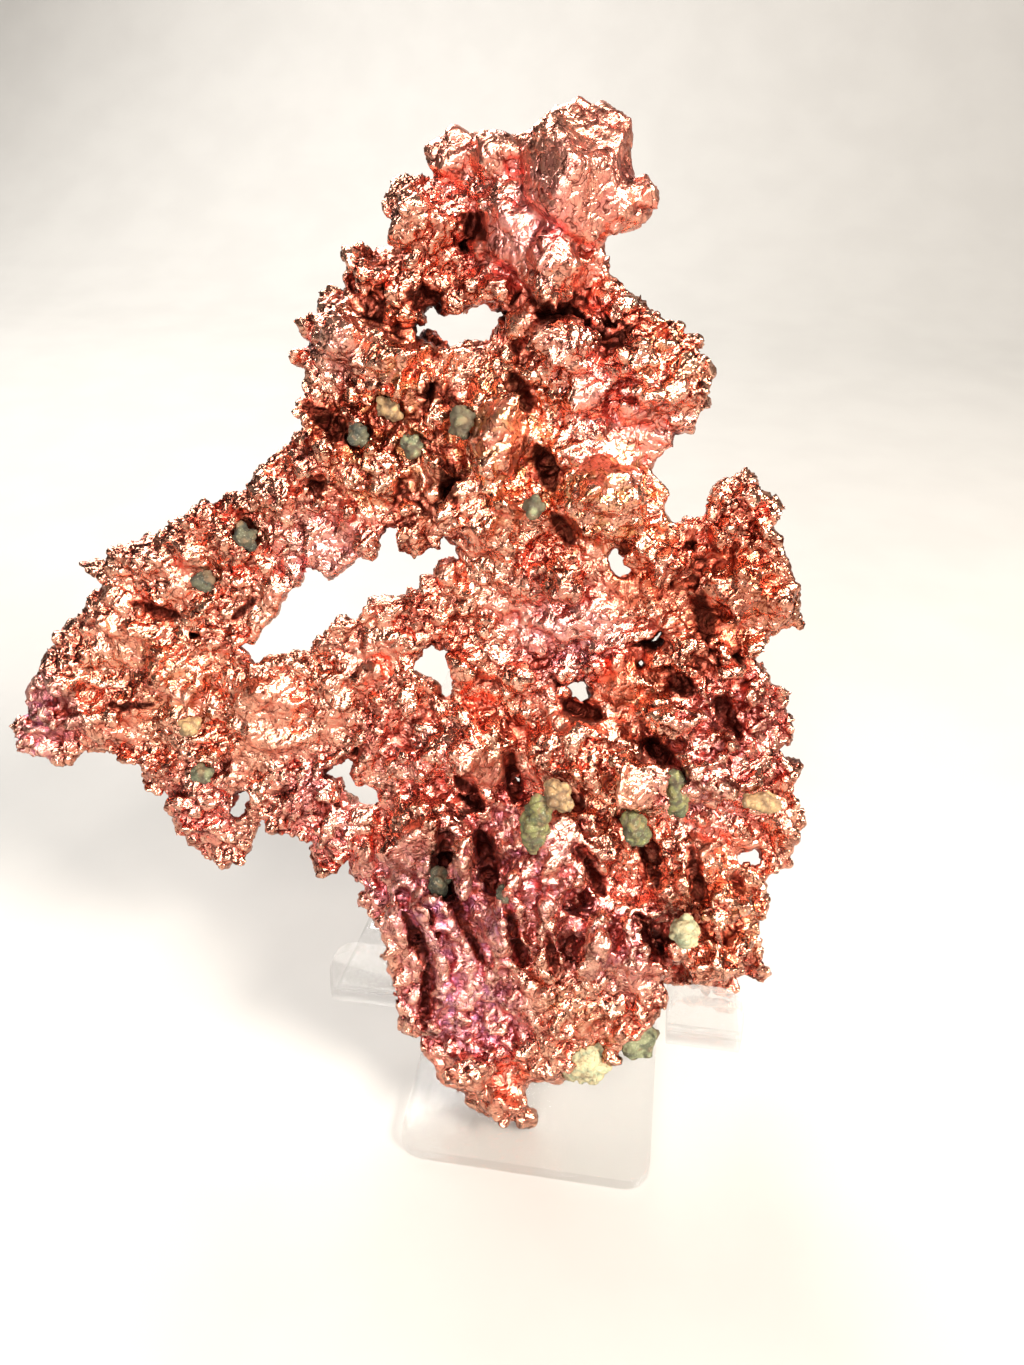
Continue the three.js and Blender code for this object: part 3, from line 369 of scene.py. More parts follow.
def calmness(places: np.ndarray, seen: np.ndarray) -> np.ndarray:
    """How smooth the copper's skin is at each place, from 0 where it is hackly to 1."""
    drift = np.clip((BROAD.hills(places / DRIFT_MM + 5) - 0.05) / 0.35, 0, 1)
    own = (PLAIN_CALM + DRIFT_CALM * drift) * (1 - strongest(seen, KNOBBLY))
    return np.maximum(np.clip(strongest(seen, SMOOTH), 0, 1), own)


def add_node(tree: bpy.types.NodeTree, kind: str, settings: dict, links: dict) -> bpy.types.Node:
    """Add a shader node with its settings and links.

    Args:
        tree: The material's node tree.
        kind: The node's type name.
        settings: Properties by name, and socket values by number or name.
        links: For each input, by number or name, the output that feeds it.

    Returns:
        The new node.
    """
    node = tree.nodes.new(kind)
    for key, value in settings.items():
        if isinstance(key, str) and hasattr(node, key):
            setattr(node, key, value)
        else:
            node.inputs[key].default_value = value
    for key, source in links.items():
        tree.links.new(source, node.inputs[key])
    return node


@dataclass(frozen=True)
class Pattern:
    """Noise whose features are a real size in millimetres."""

    size: float
    detail: float = 3.0
    warp: float = 0.0


@dataclass(frozen=True)
class Stretch:
    """A named value of a material, eased from one range to another and kept inside it."""

    source: str
    low: float
    high: float
    out_low: float = 0.0
    out_high: float = 1.0


class Blend:
    """A material in the making: its nodes, and by name the values that its colours go by."""

    def __init__(self, name: str, patterns: dict[str, Pattern], kept: tuple[str, ...] = ()) -> None:
        """Start a material with its patterns.

        Args:
            name: The material's name.
            patterns: Noise, by the name of the value that it gives.
            kept: The names of the values that the mesh keeps at each vertex.
        """
        self.material = bpy.data.materials.new(name)
        self.material.use_nodes = True
        self.tree = self.material.node_tree
        self.tree.nodes.clear()
        self.out = add_node(self.tree, "ShaderNodeOutputMaterial", {}, {})
        self.values = {}
        for key in kept:
            node = add_node(self.tree, "ShaderNodeAttribute", {"attribute_name": key}, {})
            self.values[key] = node.outputs["Fac"]
        place = add_node(self.tree, "ShaderNodeNewGeometry", {}, {}).outputs["Position"]
        for key, noise in patterns.items():
            settings = {"Scale": 1 / (noise.size * MM), "Detail": noise.detail,
                        "Distortion": noise.warp}
            node = add_node(self.tree, "ShaderNodeTexNoise", settings, {"Vector": place})
            self.values[key] = node.outputs[0]

    def level(self, *masks: str | Stretch) -> bpy.types.NodeSocket:
        """Multiply masks with each other.

        Args:
            masks: Values, each by its name or as a stretch of one.

        Returns:
            The output that gives their product.
        """
        levels = []
        for mask in masks:
            if isinstance(mask, str):
                levels.append(self.values[mask])
                continue
            settings = {"interpolation_type": "SMOOTHSTEP", 1: mask.low, 2: mask.high,
                        3: mask.out_low, 4: mask.out_high}
            node = add_node(self.tree, "ShaderNodeMapRange", settings, {0: self.values[mask.source]})
            levels.append(node.outputs[0])
        total = levels[0]
        for other in levels[1:]:
            node = add_node(self.tree, "ShaderNodeMath", {"operation": "MULTIPLY"}, {0: total, 1: other})
            total = node.outputs[0]
        return total

    def coated(self, base: str, coats: list[tuple[str | Stretch, ...]]) -> bpy.types.NodeSocket:
        """Lay colours over each other.

        Args:
            base: The lowest colour.
            coats: From the lowest up, a colour and the masks that say how much of it shows.

        Returns:
            The output that gives the colour of them all.
        """
        settings = {"data_type": "RGBA", 6: linear(base)}
        links = {}
        for colour, *masks in coats:
            settings[7] = linear(colour)
            links[0] = self.level(*masks)
            links[6] = add_node(self.tree, "ShaderNodeMix", settings, links).outputs[2]
        return links[6]

    def shaded(self, settings: dict, links: dict) -> bpy.types.Material:
        """Close the material with its shader.

        Args:
            settings: The shader's uniform values, by socket.
            links: For each of its other sockets, the output that feeds it.

        Returns:
            The finished material.
        """
        shader = add_node(self.tree, "ShaderNodeBsdfPrincipled", settings, links)
        self.tree.links.new(shader.outputs[0], self.out.inputs[0])
        return self.material


@dataclass(frozen=True)
class NativeCopper:
    """Native copper, etched clean of its matrix.

    The bare metal is salmon and red, rose and orange where a thin oxide tints it, and plum where
    the oxide is thicker. A pale painted highlight lies on its raised crests and in small flecks,
    and painted shade turns its deep places a rustier red, its creases and cracks a deep red, and
    its deepest places nearly black. It is shiny but crinkled like foil, so that light breaks up
    into small bright flecks.
    """

    name: str = "native_copper_etched"
    # A pale painted highlight, on the raised crests and in small flecks
    painted_highlight: str = "#F6C2A2"
    salmon: str = "#EA9478"
    red: str = "#CC6652"
    rose: str = "#E08684"
    gold: str = "#E09C66"
    ember: str = "#E4572E"
    plum: str = "#A06480"
    # Rust red: real in the rusty patches, and painted shade in the deep places
    rust_and_shade: str = "#983A26"
    # Painted shade: dark red in the creases and cracks, and nearly black in the deepest places
    fold: str = "#54140C"
    painted_shade: str = "#260906"
    roughness_bright: float = 0.22
    roughness_dull: float = 0.5
    # The skin is creased into cushions of a millimetre or two, these are crinkled again, and the
    # metal's own grain sparkles on them. Each has a size and a height
    cushion_mm: float = 1.9
    cushion_height_mm: float = 0.1
    crinkle_mm: float = 0.8
    crinkle_height_mm: float = 0.035
    sparkle_mm: float = 0.2
    sparkle_height_mm: float = 0.012

    def material(self) -> bpy.types.Material:
        """Build the material."""
        blend = Blend(self.name, {
            "broad": Pattern(7.0, 4.0, 0.6), "patch": Pattern(2.4, 5.0, 1.2),
            "fleck": Pattern(0.9, 4.0, 0.8), "sparkle": Pattern(self.sparkle_mm, 1.0),
            "cushions": Pattern(self.cushion_mm, 2.0, 0.5),
            "crinkles": Pattern(self.crinkle_mm, 2.0, 0.3),
        }, ("painted_shade", "calm", "painted_highlight", "crack_shade", *TINTS))
        for skin in ("cushions", "crinkles"):
            # A crease runs wherever the noise is at its middle, and the value is how far off it is
            lifted = add_node(blend.tree, "ShaderNodeMath", {"operation": "SUBTRACT", 1: 0.5},
                              {0: blend.values[skin]}).outputs[0]
            crease = add_node(blend.tree, "ShaderNodeMath", {"operation": "ABSOLUTE"}, {0: lifted})
            blend.values[skin] = crease.outputs[0]
        blend.values["plum"] = blend.level("plum", Stretch("patch", 0.36, 0.64, 0.45, 1.0))
        return blend.shaded({"Metallic": 1.0}, {
            "Base Color": blend.coated(self.red, self._coats()),
            "Roughness": self._roughness(blend), "Normal": self._normal(blend),
        })

    def _coats(self) -> list[tuple[str | Stretch, ...]]:
        """The colours over the red, each with the masks that say how much of it shows."""
        return [
            (self.salmon, Stretch("broad", 0.36, 0.62)),
            # Painted glints: small flecks of the highlight colour, at random
            (self.painted_highlight, Stretch("fleck", 0.5, 0.75, 0.0, 0.5)),
            (self.rose, "rose", Stretch("patch", 0.3, 0.6, 0.35, 0.85)),
            (self.gold, "gold", Stretch("patch", 0.42, 0.62)),
            (self.ember, "ember"),
            (self.plum, "plum"),
            # Painted highlight where the skin stands proud
            (self.painted_highlight, "painted_highlight", Stretch("fleck", 0.25, 0.6, 0.2, 0.8)),
            (self.rust_and_shade, "rust_and_shade", Stretch("patch", 0.35, 0.6, 0.25, 0.7)),
            # Painted shade from here on: a rustier red in deep places, dark red in the creases of the
            # cushions and crinkles and in the cracks, and nearly black in the deepest places
            (self.rust_and_shade, Stretch("painted_shade", 0.2, 0.7), Stretch("fleck", 0.3, 0.7, 0.4, 1.0)),
            (self.fold, Stretch("cushions", 0.0, 0.04, 0.88, 0.0), Stretch("patch", 0.28, 0.52)),
            (self.fold, Stretch("crinkles", 0.0, 0.04, 0.65, 0.0), Stretch("broad", 0.3, 0.6)),
            (self.fold, Stretch("crack_shade", 0.15, 0.8, 0.0, 0.92)),
            (self.painted_shade, Stretch("painted_shade", 0.55, 1.0, 0.0, 0.9)),
        ]

    def _roughness(self, blend: Blend) -> bpy.types.NodeSocket:
        """Duller in the pits, on the smooth sheets and under the plum tarnish."""
        veiled = add_node(blend.tree, "ShaderNodeMath", {"operation": "MULTIPLY", 1: 0.95},
                          {0: blend.values["plum"]}).outputs[0]
        dull = blend.values["painted_shade"]
        for other in (blend.level(Stretch("calm", 0.0, 1.0, 0.0, 0.42)), veiled):
            dull = add_node(blend.tree, "ShaderNodeMath", {"operation": "MAXIMUM"},
                            {0: dull, 1: other}).outputs[0]
        blend.values["dull"] = dull
        return blend.level(Stretch("dull", 0.1, 0.8, self.roughness_bright, self.roughness_dull))

    def _normal(self, blend: Blend) -> bpy.types.NodeSocket:
        """The facing of the cushions, with the crinkles and then the sparkle on them."""
        links = {"Strength": blend.level(Stretch("calm", 0.0, 1.0, 0.9, 0.75))}
        heights = {"cushions": self.cushion_height_mm, "crinkles": self.crinkle_height_mm}
        for skin, height_mm in heights.items():
            links["Height"] = blend.level(Stretch(skin, 0.0, 0.14))
            bump = add_node(blend.tree, "ShaderNodeBump", {"Distance": height_mm * MM}, links)
            links["Normal"] = bump.outputs[0]
        settings = {"Strength": 0.4, "Distance": self.sparkle_height_mm * MM}
        links = {"Height": blend.values["sparkle"], "Normal": links["Normal"]}
        return add_node(blend.tree, "ShaderNodeBump", settings, links).outputs[0]


class StoneKind(Enum):
    """The kinds of matrix stone, each by its main colour and the colour of its veins."""

    PALE = ("#A0946E", "#7E8264")
    GREEN = ("#6A6C4C", "#3E402C")
    OLIVE = ("#686638", "#42442A")
    TAN = ("#9A7C52", "#6E5236")
    DARK = ("#45432F", "#2A2B20")


@dataclass(frozen=True)
class MatrixStone:
    """Altered basalt with green minerals in it: dull, fine grained and a little crumbly."""

    kind: StoneKind
    earth: str = "#6E5136"
    crystal: str = "#D8D2B4"
    # Painted shade, in the gaps between the grains and over stones that lie deep
    painted_shade_colour: str = "#3A2C1C"
    roughness: float = 0.82
    grit_mm: float = 0.3
    grit_height_mm: float = 0.12

    def material(self) -> bpy.types.Material:
        """Build the material."""
        main, vein = self.kind.value
        blend = Blend(f"altered_basalt_{self.kind.name.lower()}", {
            "veins": Pattern(1.6, 5.0, 0.8), "stains": Pattern(2.2, 4.0, 1.0),
            "grit": Pattern(self.grit_mm),
        }, ("painted_shade",))
        body = blend.coated(main, [
            (vein, Stretch("veins", 0.4, 0.62)),
            (self.earth, Stretch("stains", 0.5, 0.66, 0.0, 0.6)),
            (self.crystal, Stretch("grit", 0.55, 0.8, 0.0, 0.35)),
            # Painted shade between the grains and on stones that lie deep
            (self.painted_shade_colour, Stretch("painted_shade", 0.3, 0.9, 0.0, 0.8)),
        ])
        settings = {"Strength": 0.7, "Distance": self.grit_height_mm * MM}
        bump = add_node(blend.tree, "ShaderNodeBump", settings, {"Height": blend.values["grit"]})
        return blend.shaded({"Roughness": self.roughness},
                            {"Base Color": body, "Normal": bump.outputs[0]})


@dataclass(frozen=True)
class CastAcrylic:
    """Clear acrylic sheet, cut, flame polished and bent: glassy, with bright rounded edges.

    Some light goes straight through it, so that the card under the foot stays as bright as it is
    under a real sheet. Its rim bends nearly all of the light, and so shows as a line.
    """

    name: str = "clear_acrylic_sheet"
    tint: str = "#FBFCFB"
    ior: float = 1.49
    alpha: float = 0.38
    rim_alpha: float = 0.95

    def material(self) -> bpy.types.Material:
        """Build the material."""
        blend = Blend(self.name, {"haze": Pattern(9.0)}, ("rim",))
        return blend.shaded({
            "Base Color": linear(self.tint), "Transmission Weight": 1.0, "IOR": self.ior,
        }, {
            "Roughness": blend.level(Stretch("haze", 0.3, 0.8, 0.04, 0.09)),
            "Alpha": blend.level(Stretch("rim", 0.0, 0.7, self.alpha, self.rim_alpha)),
        })


@dataclass(frozen=True)
class PaperSweep:
    """Matt white card, which takes soft shadows."""

    name: str = "white_card"
    colour: str = "#989590"
    shade: str = "#95928D"
    roughness: float = 0.7

    def material(self) -> bpy.types.Material:
        """Build the material."""
        blend = Blend(self.name, {"tooth": Pattern(30.0, 4.0)})
        body = blend.coated(self.colour, [(self.shade, Stretch("tooth", 0.3, 0.7))])
        return blend.shaded({"Roughness": self.roughness}, {"Base Color": body})


def mesh_arrays(mesh: bpy.types.Mesh) -> tuple[np.ndarray, np.ndarray]:
    """Read a mesh as arrays.

    Args:
        mesh: The mesh to read.

    Returns:
        Vertices in millimetres and triangles as three vertex numbers each.
    """
    places = np.zeros(len(mesh.vertices) * 3)
    mesh.vertices.foreach_get("co", places)
    mesh.calc_loop_triangles()
    corners = np.zeros(len(mesh.loop_triangles) * 3, np.int32)
    mesh.loop_triangles.foreach_get("vertices", corners)
    return places.reshape(-1, 3) / MM, corners.reshape(-1, 3)


def mesh_normals(mesh: bpy.types.Mesh) -> np.ndarray:
    """The direction that each vertex of a mesh faces."""
    facing = np.zeros(len(mesh.vertices) * 3, np.float32)
    mesh.vertex_normals.foreach_get("vector", facing)
    return facing.reshape(-1, 3).astype(float)


def move_vertices(mesh: bpy.types.Mesh, places: np.ndarray) -> None:
    """Put a mesh's vertices at new places, given in millimetres."""
    mesh.vertices.foreach_set("co", (places * MM).astype(np.float32).ravel())
    mesh.update()


def mesh_from(name: str, places: np.ndarray, corners: np.ndarray) -> bpy.types.Mesh:
    """Make a mesh of triangles.

    Args:
        name: The mesh's name.
        places: Vertices in millimetres.
        corners: Three vertex numbers per triangle.

    Returns:
        The new mesh.
    """
    mesh = bpy.data.meshes.new(name)
    mesh.vertices.add(len(places))
    mesh.vertices.foreach_set("co", (places * MM).astype(np.float32).ravel())
    mesh.loops.add(corners.size)
    mesh.loops.foreach_set("vertex_index", corners.astype(np.int32).ravel())
    mesh.polygons.add(len(corners))
    mesh.polygons.foreach_set("loop_start", np.arange(0, corners.size, 3, dtype=np.int32))
    mesh.update(calc_edges=True)
    return mesh


def placed(name: str, data: bpy.types.ID) -> bpy.types.Object:
    """Put a mesh, a lamp or a camera in the scene."""
    thing = bpy.data.objects.new(name, data)
    bpy.context.scene.collection.objects.link(thing)
    return thing


def modified(mesh: bpy.types.Mesh, kind: str, settings: dict) -> bpy.types.Mesh:
    """Put a mesh through one modifier.

    Args:
        mesh: The mesh, which is used up.
        kind: The modifier's type.
        settings: The modifier's properties by name.

    Returns:
        The new mesh.
    """
    scratch = placed("scratch", mesh)
    modifier = scratch.modifiers.new("scratch", kind)
    for key, value in settings.items():
        setattr(modifier, key, value)
    graph = bpy.context.evaluated_depsgraph_get()
    result = bpy.data.meshes.new_from_object(scratch.evaluated_get(graph))
    bpy.data.objects.remove(scratch)
    bpy.data.meshes.remove(mesh)
    return result


def remeshed(mesh: bpy.types.Mesh, voxel_mm: float) -> bpy.types.Mesh:
    """Fuse everything in a mesh, which is used up, into one even skin."""
    return modified(mesh, "REMESH", {"mode": "VOXEL", "voxel_size": voxel_mm * MM})


def thinned(mesh: bpy.types.Mesh, most: int) -> bpy.types.Mesh:
    """Merge the flatter triangles of a mesh until no more than a given number are left.

    Args:
        mesh: The mesh, which is used up where it has too many.
        most: The most triangles.

    Returns:
        The lighter mesh, or the same one where it was light enough.
    """
    count = sum(len(face.vertices) - 2 for face in mesh.polygons)
    if count <= most:
        return mesh
    return modified(mesh, "DECIMATE", {"ratio": most / count})


def triangle_areas(places: np.ndarray, corners: np.ndarray) -> np.ndarray:
    """The area of each triangle in square millimetres."""
    sides = places[corners]
    cross = np.cross(sides[:, 1] - sides[:, 0], sides[:, 2] - sides[:, 0])
    return np.linalg.norm(cross, axis=1) / 2


def vertex_areas(places: np.ndarray, corners: np.ndarray) -> np.ndarray:
    """The area of skin, in square millimetres, that each vertex stands for."""
    thirds = triangle_areas(places, corners) / 3
    return np.bincount(corners.ravel(), np.repeat(thirds, 3), len(places))


# A form is what stands out from a skin that is softened so many times. It is pushed by so many
# millimetres at most, and a hollow by a share of that
SOFTENINGS = 14
MOST_PUSH = 1.2
HOLLOW_SHARE = 0.35


def sharpened(places: np.ndarray, corners: np.ndarray, facing: np.ndarray,
              share: float) -> np.ndarray:
    """Push bulges out, and hollows in a little, so that the forms stand apart.

    Args:
        places: Vertices in millimetres.
        corners: Three vertex numbers per triangle.
        facing: The direction that each vertex faces.
        share: How much of each bulge or hollow is added again.

    Returns:
        The vertices' new places.
    """
    ends = np.concatenate([corners[:, [0, 1]], corners[:, [1, 2]], corners[:, [2, 0]]])
    ends = np.concatenate([ends, ends[:, ::-1]])
    count = np.bincount(ends[:, 0], minlength=len(places))[:, None]
    soft = places
    for _ in range(SOFTENINGS):
        near = [np.bincount(ends[:, 0], soft[ends[:, 1], axis], len(places)) for axis in range(3)]
        soft = np.stack(near, axis=1) / np.maximum(count, 1)
    push = places - soft
    reach = np.linalg.norm(push, axis=1, keepdims=True)
    held = np.minimum(1, MOST_PUSH / np.maximum(reach, 1e-6))
    inward = np.einsum("ij,ij->i", push, facing)[:, None] < 0
    return places + push * share * held * np.where(inward, HOLLOW_SHARE, 1)


def keep_values(mesh: bpy.types.Mesh, name: str, values: np.ndarray) -> None:
    """Store one value per vertex on a mesh, for its material to read."""
    layer = mesh.attributes.new(name, "FLOAT", "POINT")
    layer.data.foreach_set("value", values.astype(np.float32))


def smooth_shaded(mesh: bpy.types.Mesh) -> None:
    """Shade a mesh smoothly."""
    mesh.polygons.foreach_set("use_smooth", np.ones(len(mesh.polygons), bool))


def ball(rounds: int) -> tuple[np.ndarray, np.ndarray]:
    """A unit ball of triangles.

    Args:
        rounds: How finely it is divided.

    Returns:
        Its vertices and its triangles.
    """
    bm = bmesh.new()
    bmesh.ops.create_icosphere(bm, subdivisions=rounds, radius=1.0)
    places = np.array([v.co[:] for v in bm.verts])
    corners = np.array([[v.index for v in f.verts] for f in bm.faces])
    bm.free()
    return places, corners


def turned(count: int, random: np.random.Generator) -> np.ndarray:
    """Random turns in space, as rotation matrices.

    Args:
        count: How many.
        random: The source of chance.

    Returns:
        One matrix per turn.
    """
    q = random.normal(size=(count, 4))
    w, x, y, z = (q / np.linalg.norm(q, axis=1, keepdims=True)).T
    rows = [
        [1 - 2 * (y * y + z * z), 2 * (x * y - z * w), 2 * (x * z + y * w)],
        [2 * (x * y + z * w), 1 - 2 * (x * x + z * z), 2 * (y * z - x * w)],
        [2 * (x * z - y * w), 2 * (y * z + x * w), 1 - 2 * (x * x + y * y)],
    ]
    return np.array(rows).transpose(2, 0, 1)


@dataclass
class Piece:
    """One piece of the finished model, which stands in for the solid of the same name."""

    node: str
    piece: bpy.types.Object | None = field(default=None, init=False)

    def even_skin(self, voxel_mm: float) -> bpy.types.Mesh:
        """The solid's skin, divided evenly."""
        places, corners = mesh_arrays(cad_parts[self.node].data)
        return remeshed(mesh_from(self.node + "_rough", places, corners), voxel_mm)

    def show(self, mesh: bpy.types.Mesh, ending: str) -> None:
        """Put the piece's mesh in the scene, under the solid's name with an ending."""
        smooth_shaded(mesh)
        mesh.name = self.node + ending
        self.piece = placed(self.node + ending, mesh)

    def dress(self, material: bpy.types.Material, slot: str) -> None:
        """Give the piece its finish, attach it to the body and hide the solid that it stands for.

        Args:
            material: The finish.
            slot: Not used.
        """
        self.piece.data.materials.clear()
        self.piece.data.materials.append(material)
        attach(self.piece, BODY)
        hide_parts(self.node)
        LOG.info("%s: %d faces", self.piece.name, len(self.piece.data.polygons))


@dataclass
class CopperBranch(Piece):
    """One branch of the copper, grown over the solid of the same name."""

    seed: int
    # The small growths. Most are small and a few are large, fewer of them are kept outside the
    # knobbly patches, hardly any on the smooth ones, and each is a stretched and dented ball
    per_square_cm: float = 7.0
    knob_least: float = 0.6
    knob_most: float = 2.6
    knob_scarcity: float = 2.6
    kept_outside: float = 0.4
    missing_on_smooth: float = 0.95
    knob_stretch: tuple[float, float] = (0.45, 1.5)
    knob_dents: tuple[float, float] = (0.75, 1.2)
    voxel: float = 0.42
    rough_voxel: float = 0.7
    swell: float = 0.15
    fissure_depth: float = 0.25
    second_cut: float = 0.35
    # The lumps of the metal and how far they bend, the valleys between them, and the slabs and
    # waves of their sides
    lump: float = 5.6
    bend: float = 6.0
    bend_reach: float = 1.6
    valley_width: float = 0.4
    valley_depth: float = 0.85
    slab: float = 4.4
    slab_height: float = 0.85
    wave: float = 7.5
    wave_height: float = 0.5
    # The hackly points, the small cushions, the broader folds and the cracks of the skin
    hackle: float = 1.9
    hackle_height: float = 0.36
    cushion: float = 2.0
    cushion_height: float = 0.3
    cushion_calmed: float = 0.14
    fold: float = 2.8
    fold_height: float = 0.2
    crack_depth: float = 0.6
    crack_width: float = 0.18
    waviness: float = 2.1
    wavy_reach: float = 0.7
    # How much of the roughness is missing where the skin is smooth
    calm_share: float = 0.85
    knit: float = 0.45
    sharpen: float = 0.45
    stretch: tuple[float, float, float] = (1.0, 1.0, 1.0)
    most_triangles: int = 195000

    def _roughed(self) -> bpy.types.Mesh:
        """Bend the solid's flat faces into uneven ones."""
        mesh = self.even_skin(self.rough_voxel)
        places, corners = mesh_arrays(mesh)
        facing = mesh_normals(mesh)
        seen = drawn(places)
        lively = 1 - self.calm_share * calmness(places, seen) ** 2
        bent = BROAD.bent(places, self.bend, self.bend_reach, (13, 41, 67))
        near, far = FINE.cells(bent / (self.lump * np.array(self.stretch)))
        valley = 1 - np.clip((far - near) / self.valley_width, 0, 1)
        rise = (self.wave_height * BROAD.hills(places / self.wave)
                + self.slab_height * FINE.facets(places / self.slab) * lively
                - self.valley_depth * valley * lively)
        fork = at_forks(seen)
        rise = rise * (1 - fork) + self.knit * fork
        sunk = self.fissure_depth * fissured(seen, facing)
        places = sharpened(places, corners, facing, self.sharpen)
        move_vertices(mesh, places + facing * (self.swell + rise - sunk)[:, None])
        return mesh

    def _knobs(self, places: np.ndarray, corners: np.ndarray) -> tuple[np.ndarray, np.ndarray]:
        """Scatter small growths over a skin.

        Args:
            places: The skin's vertices.
            corners: The skin's triangles.

        Returns:
            The growths' vertices and triangles.
        """
        random = np.random.default_rng(self.seed)
        areas = triangle_areas(places, corners)
        count = int(areas.sum() / 100 * self.per_square_cm)
        chosen = random.choice(len(corners), count, p=areas / areas.sum())
        share = random.dirichlet((1, 1, 1), count)
        centres = np.einsum("ij,ijk->ik", share, places[corners][chosen])
        seen = drawn(centres)
        wanted = self.kept_outside + (1 - self.kept_outside) * strongest(seen, KNOBBLY)
        wanted = wanted * (1 - self.missing_on_smooth * calmness(centres, seen))
        wanted = np.maximum(wanted, at_forks(seen))
        kept = random.random(count) < wanted
        centres = centres[kept]
        spread = random.random(len(centres)) ** self.knob_scarcity
        sizes = self.knob_least + (self.knob_most - self.knob_least) * spread
        stretch = random.uniform(*self.knob_stretch, (len(centres), 3))
        unit, faces = ball(1)
        dents = random.uniform(*self.knob_dents, (len(centres), len(unit), 1))
        shapes = unit[None] * dents * (sizes[:, None] * stretch)[:, None, :]
        shapes = np.einsum("nij,nkj->nki", turned(len(centres), random), shapes)
        points = (shapes + centres[:, None]).reshape(-1, 3)
        first = np.arange(len(centres))[:, None, None] * len(unit)
        return points, (faces[None] + first).reshape(-1, 3)

    def build(self) -> None:
        """Grow the branch."""
        rough = self._roughed()
        places, corners = mesh_arrays(rough)
        more, faces = self._knobs(places, corners)
        both = np.concatenate([places, more])
        joined = mesh_from(self.node + "_skin", both, np.concatenate([corners, faces + len(places)]))
        bpy.data.meshes.remove(rough)
        skin = remeshed(joined, self.voxel)
        places, _ = mesh_arrays(skin)
        facing = mesh_normals(skin)
        cut = self.second_cut * self.fissure_depth * fissured(drawn(places), facing)
        move_vertices(skin, places + facing * (self.relief(places) - cut)[:, None])
        self.show(thinned(skin, self.most_triangles), "_copper")

    def _wavy(self, places: np.ndarray) -> np.ndarray:
        """Places moved about a little, so that the skin's small forms aren't straight."""
        return FINE.bent(places, self.waviness, self.wavy_reach, (11, 37, 71))

    def relief(self, places: np.ndarray) -> np.ndarray:
        """The height of the skin's small lumps and crinkles.

        Args:
            places: Places on the skin, in millimetres.

        Returns:
            One height per place, in millimetres.
        """
        calm = calmness(places, drawn(places))
        bent = self._wavy(places)
        hackly = self.hackle_height * FINE.facets(bent / self.hackle)
        # The creases between the cushions run where the noise is at its middle
        cushion = np.sqrt(np.clip(np.abs(FINE.hills(bent / self.cushion)) / 0.5, 0, 1)) - 0.6
        return ((hackly - self.crack_depth * self.cracks(places)) * (1 - self.calm_share * calm)
                + (self.cushion_height - self.cushion_calmed * calm) * cushion
                + self.fold_height * calm * BROAD.facets(places / self.fold))

    def cracks(self, places: np.ndarray) -> np.ndarray:
        """The fine cracks between small lumps, from 0 on a lump to 1 at the middle of a crack."""
        near, far = BROAD.cells(self._wavy(places) / self.fold)
        return 1 - np.clip((far - near) / self.crack_width, 0, 1)


# How crowded the skin round a place is where it starts to look deep and the painted shade begins,
# where it is deepest and the shade darkest, and where it stands proud and takes the painted
# highlight, as shares of a flat skin's crowding
DEEP_FROM = 2.35
DEEP_TO = 4.2
CREST_FROM = 1.75
CREST_SPAN = 0.6
# How much each of these counts towards the depth of a place, which sets its painted shade: the
# crowding close by, the crowding further round it, and a crevice
CLOSE_SHARE = 0.4
WIDE_SHARE = 0.6
CREVICE_SHARE = 2.7


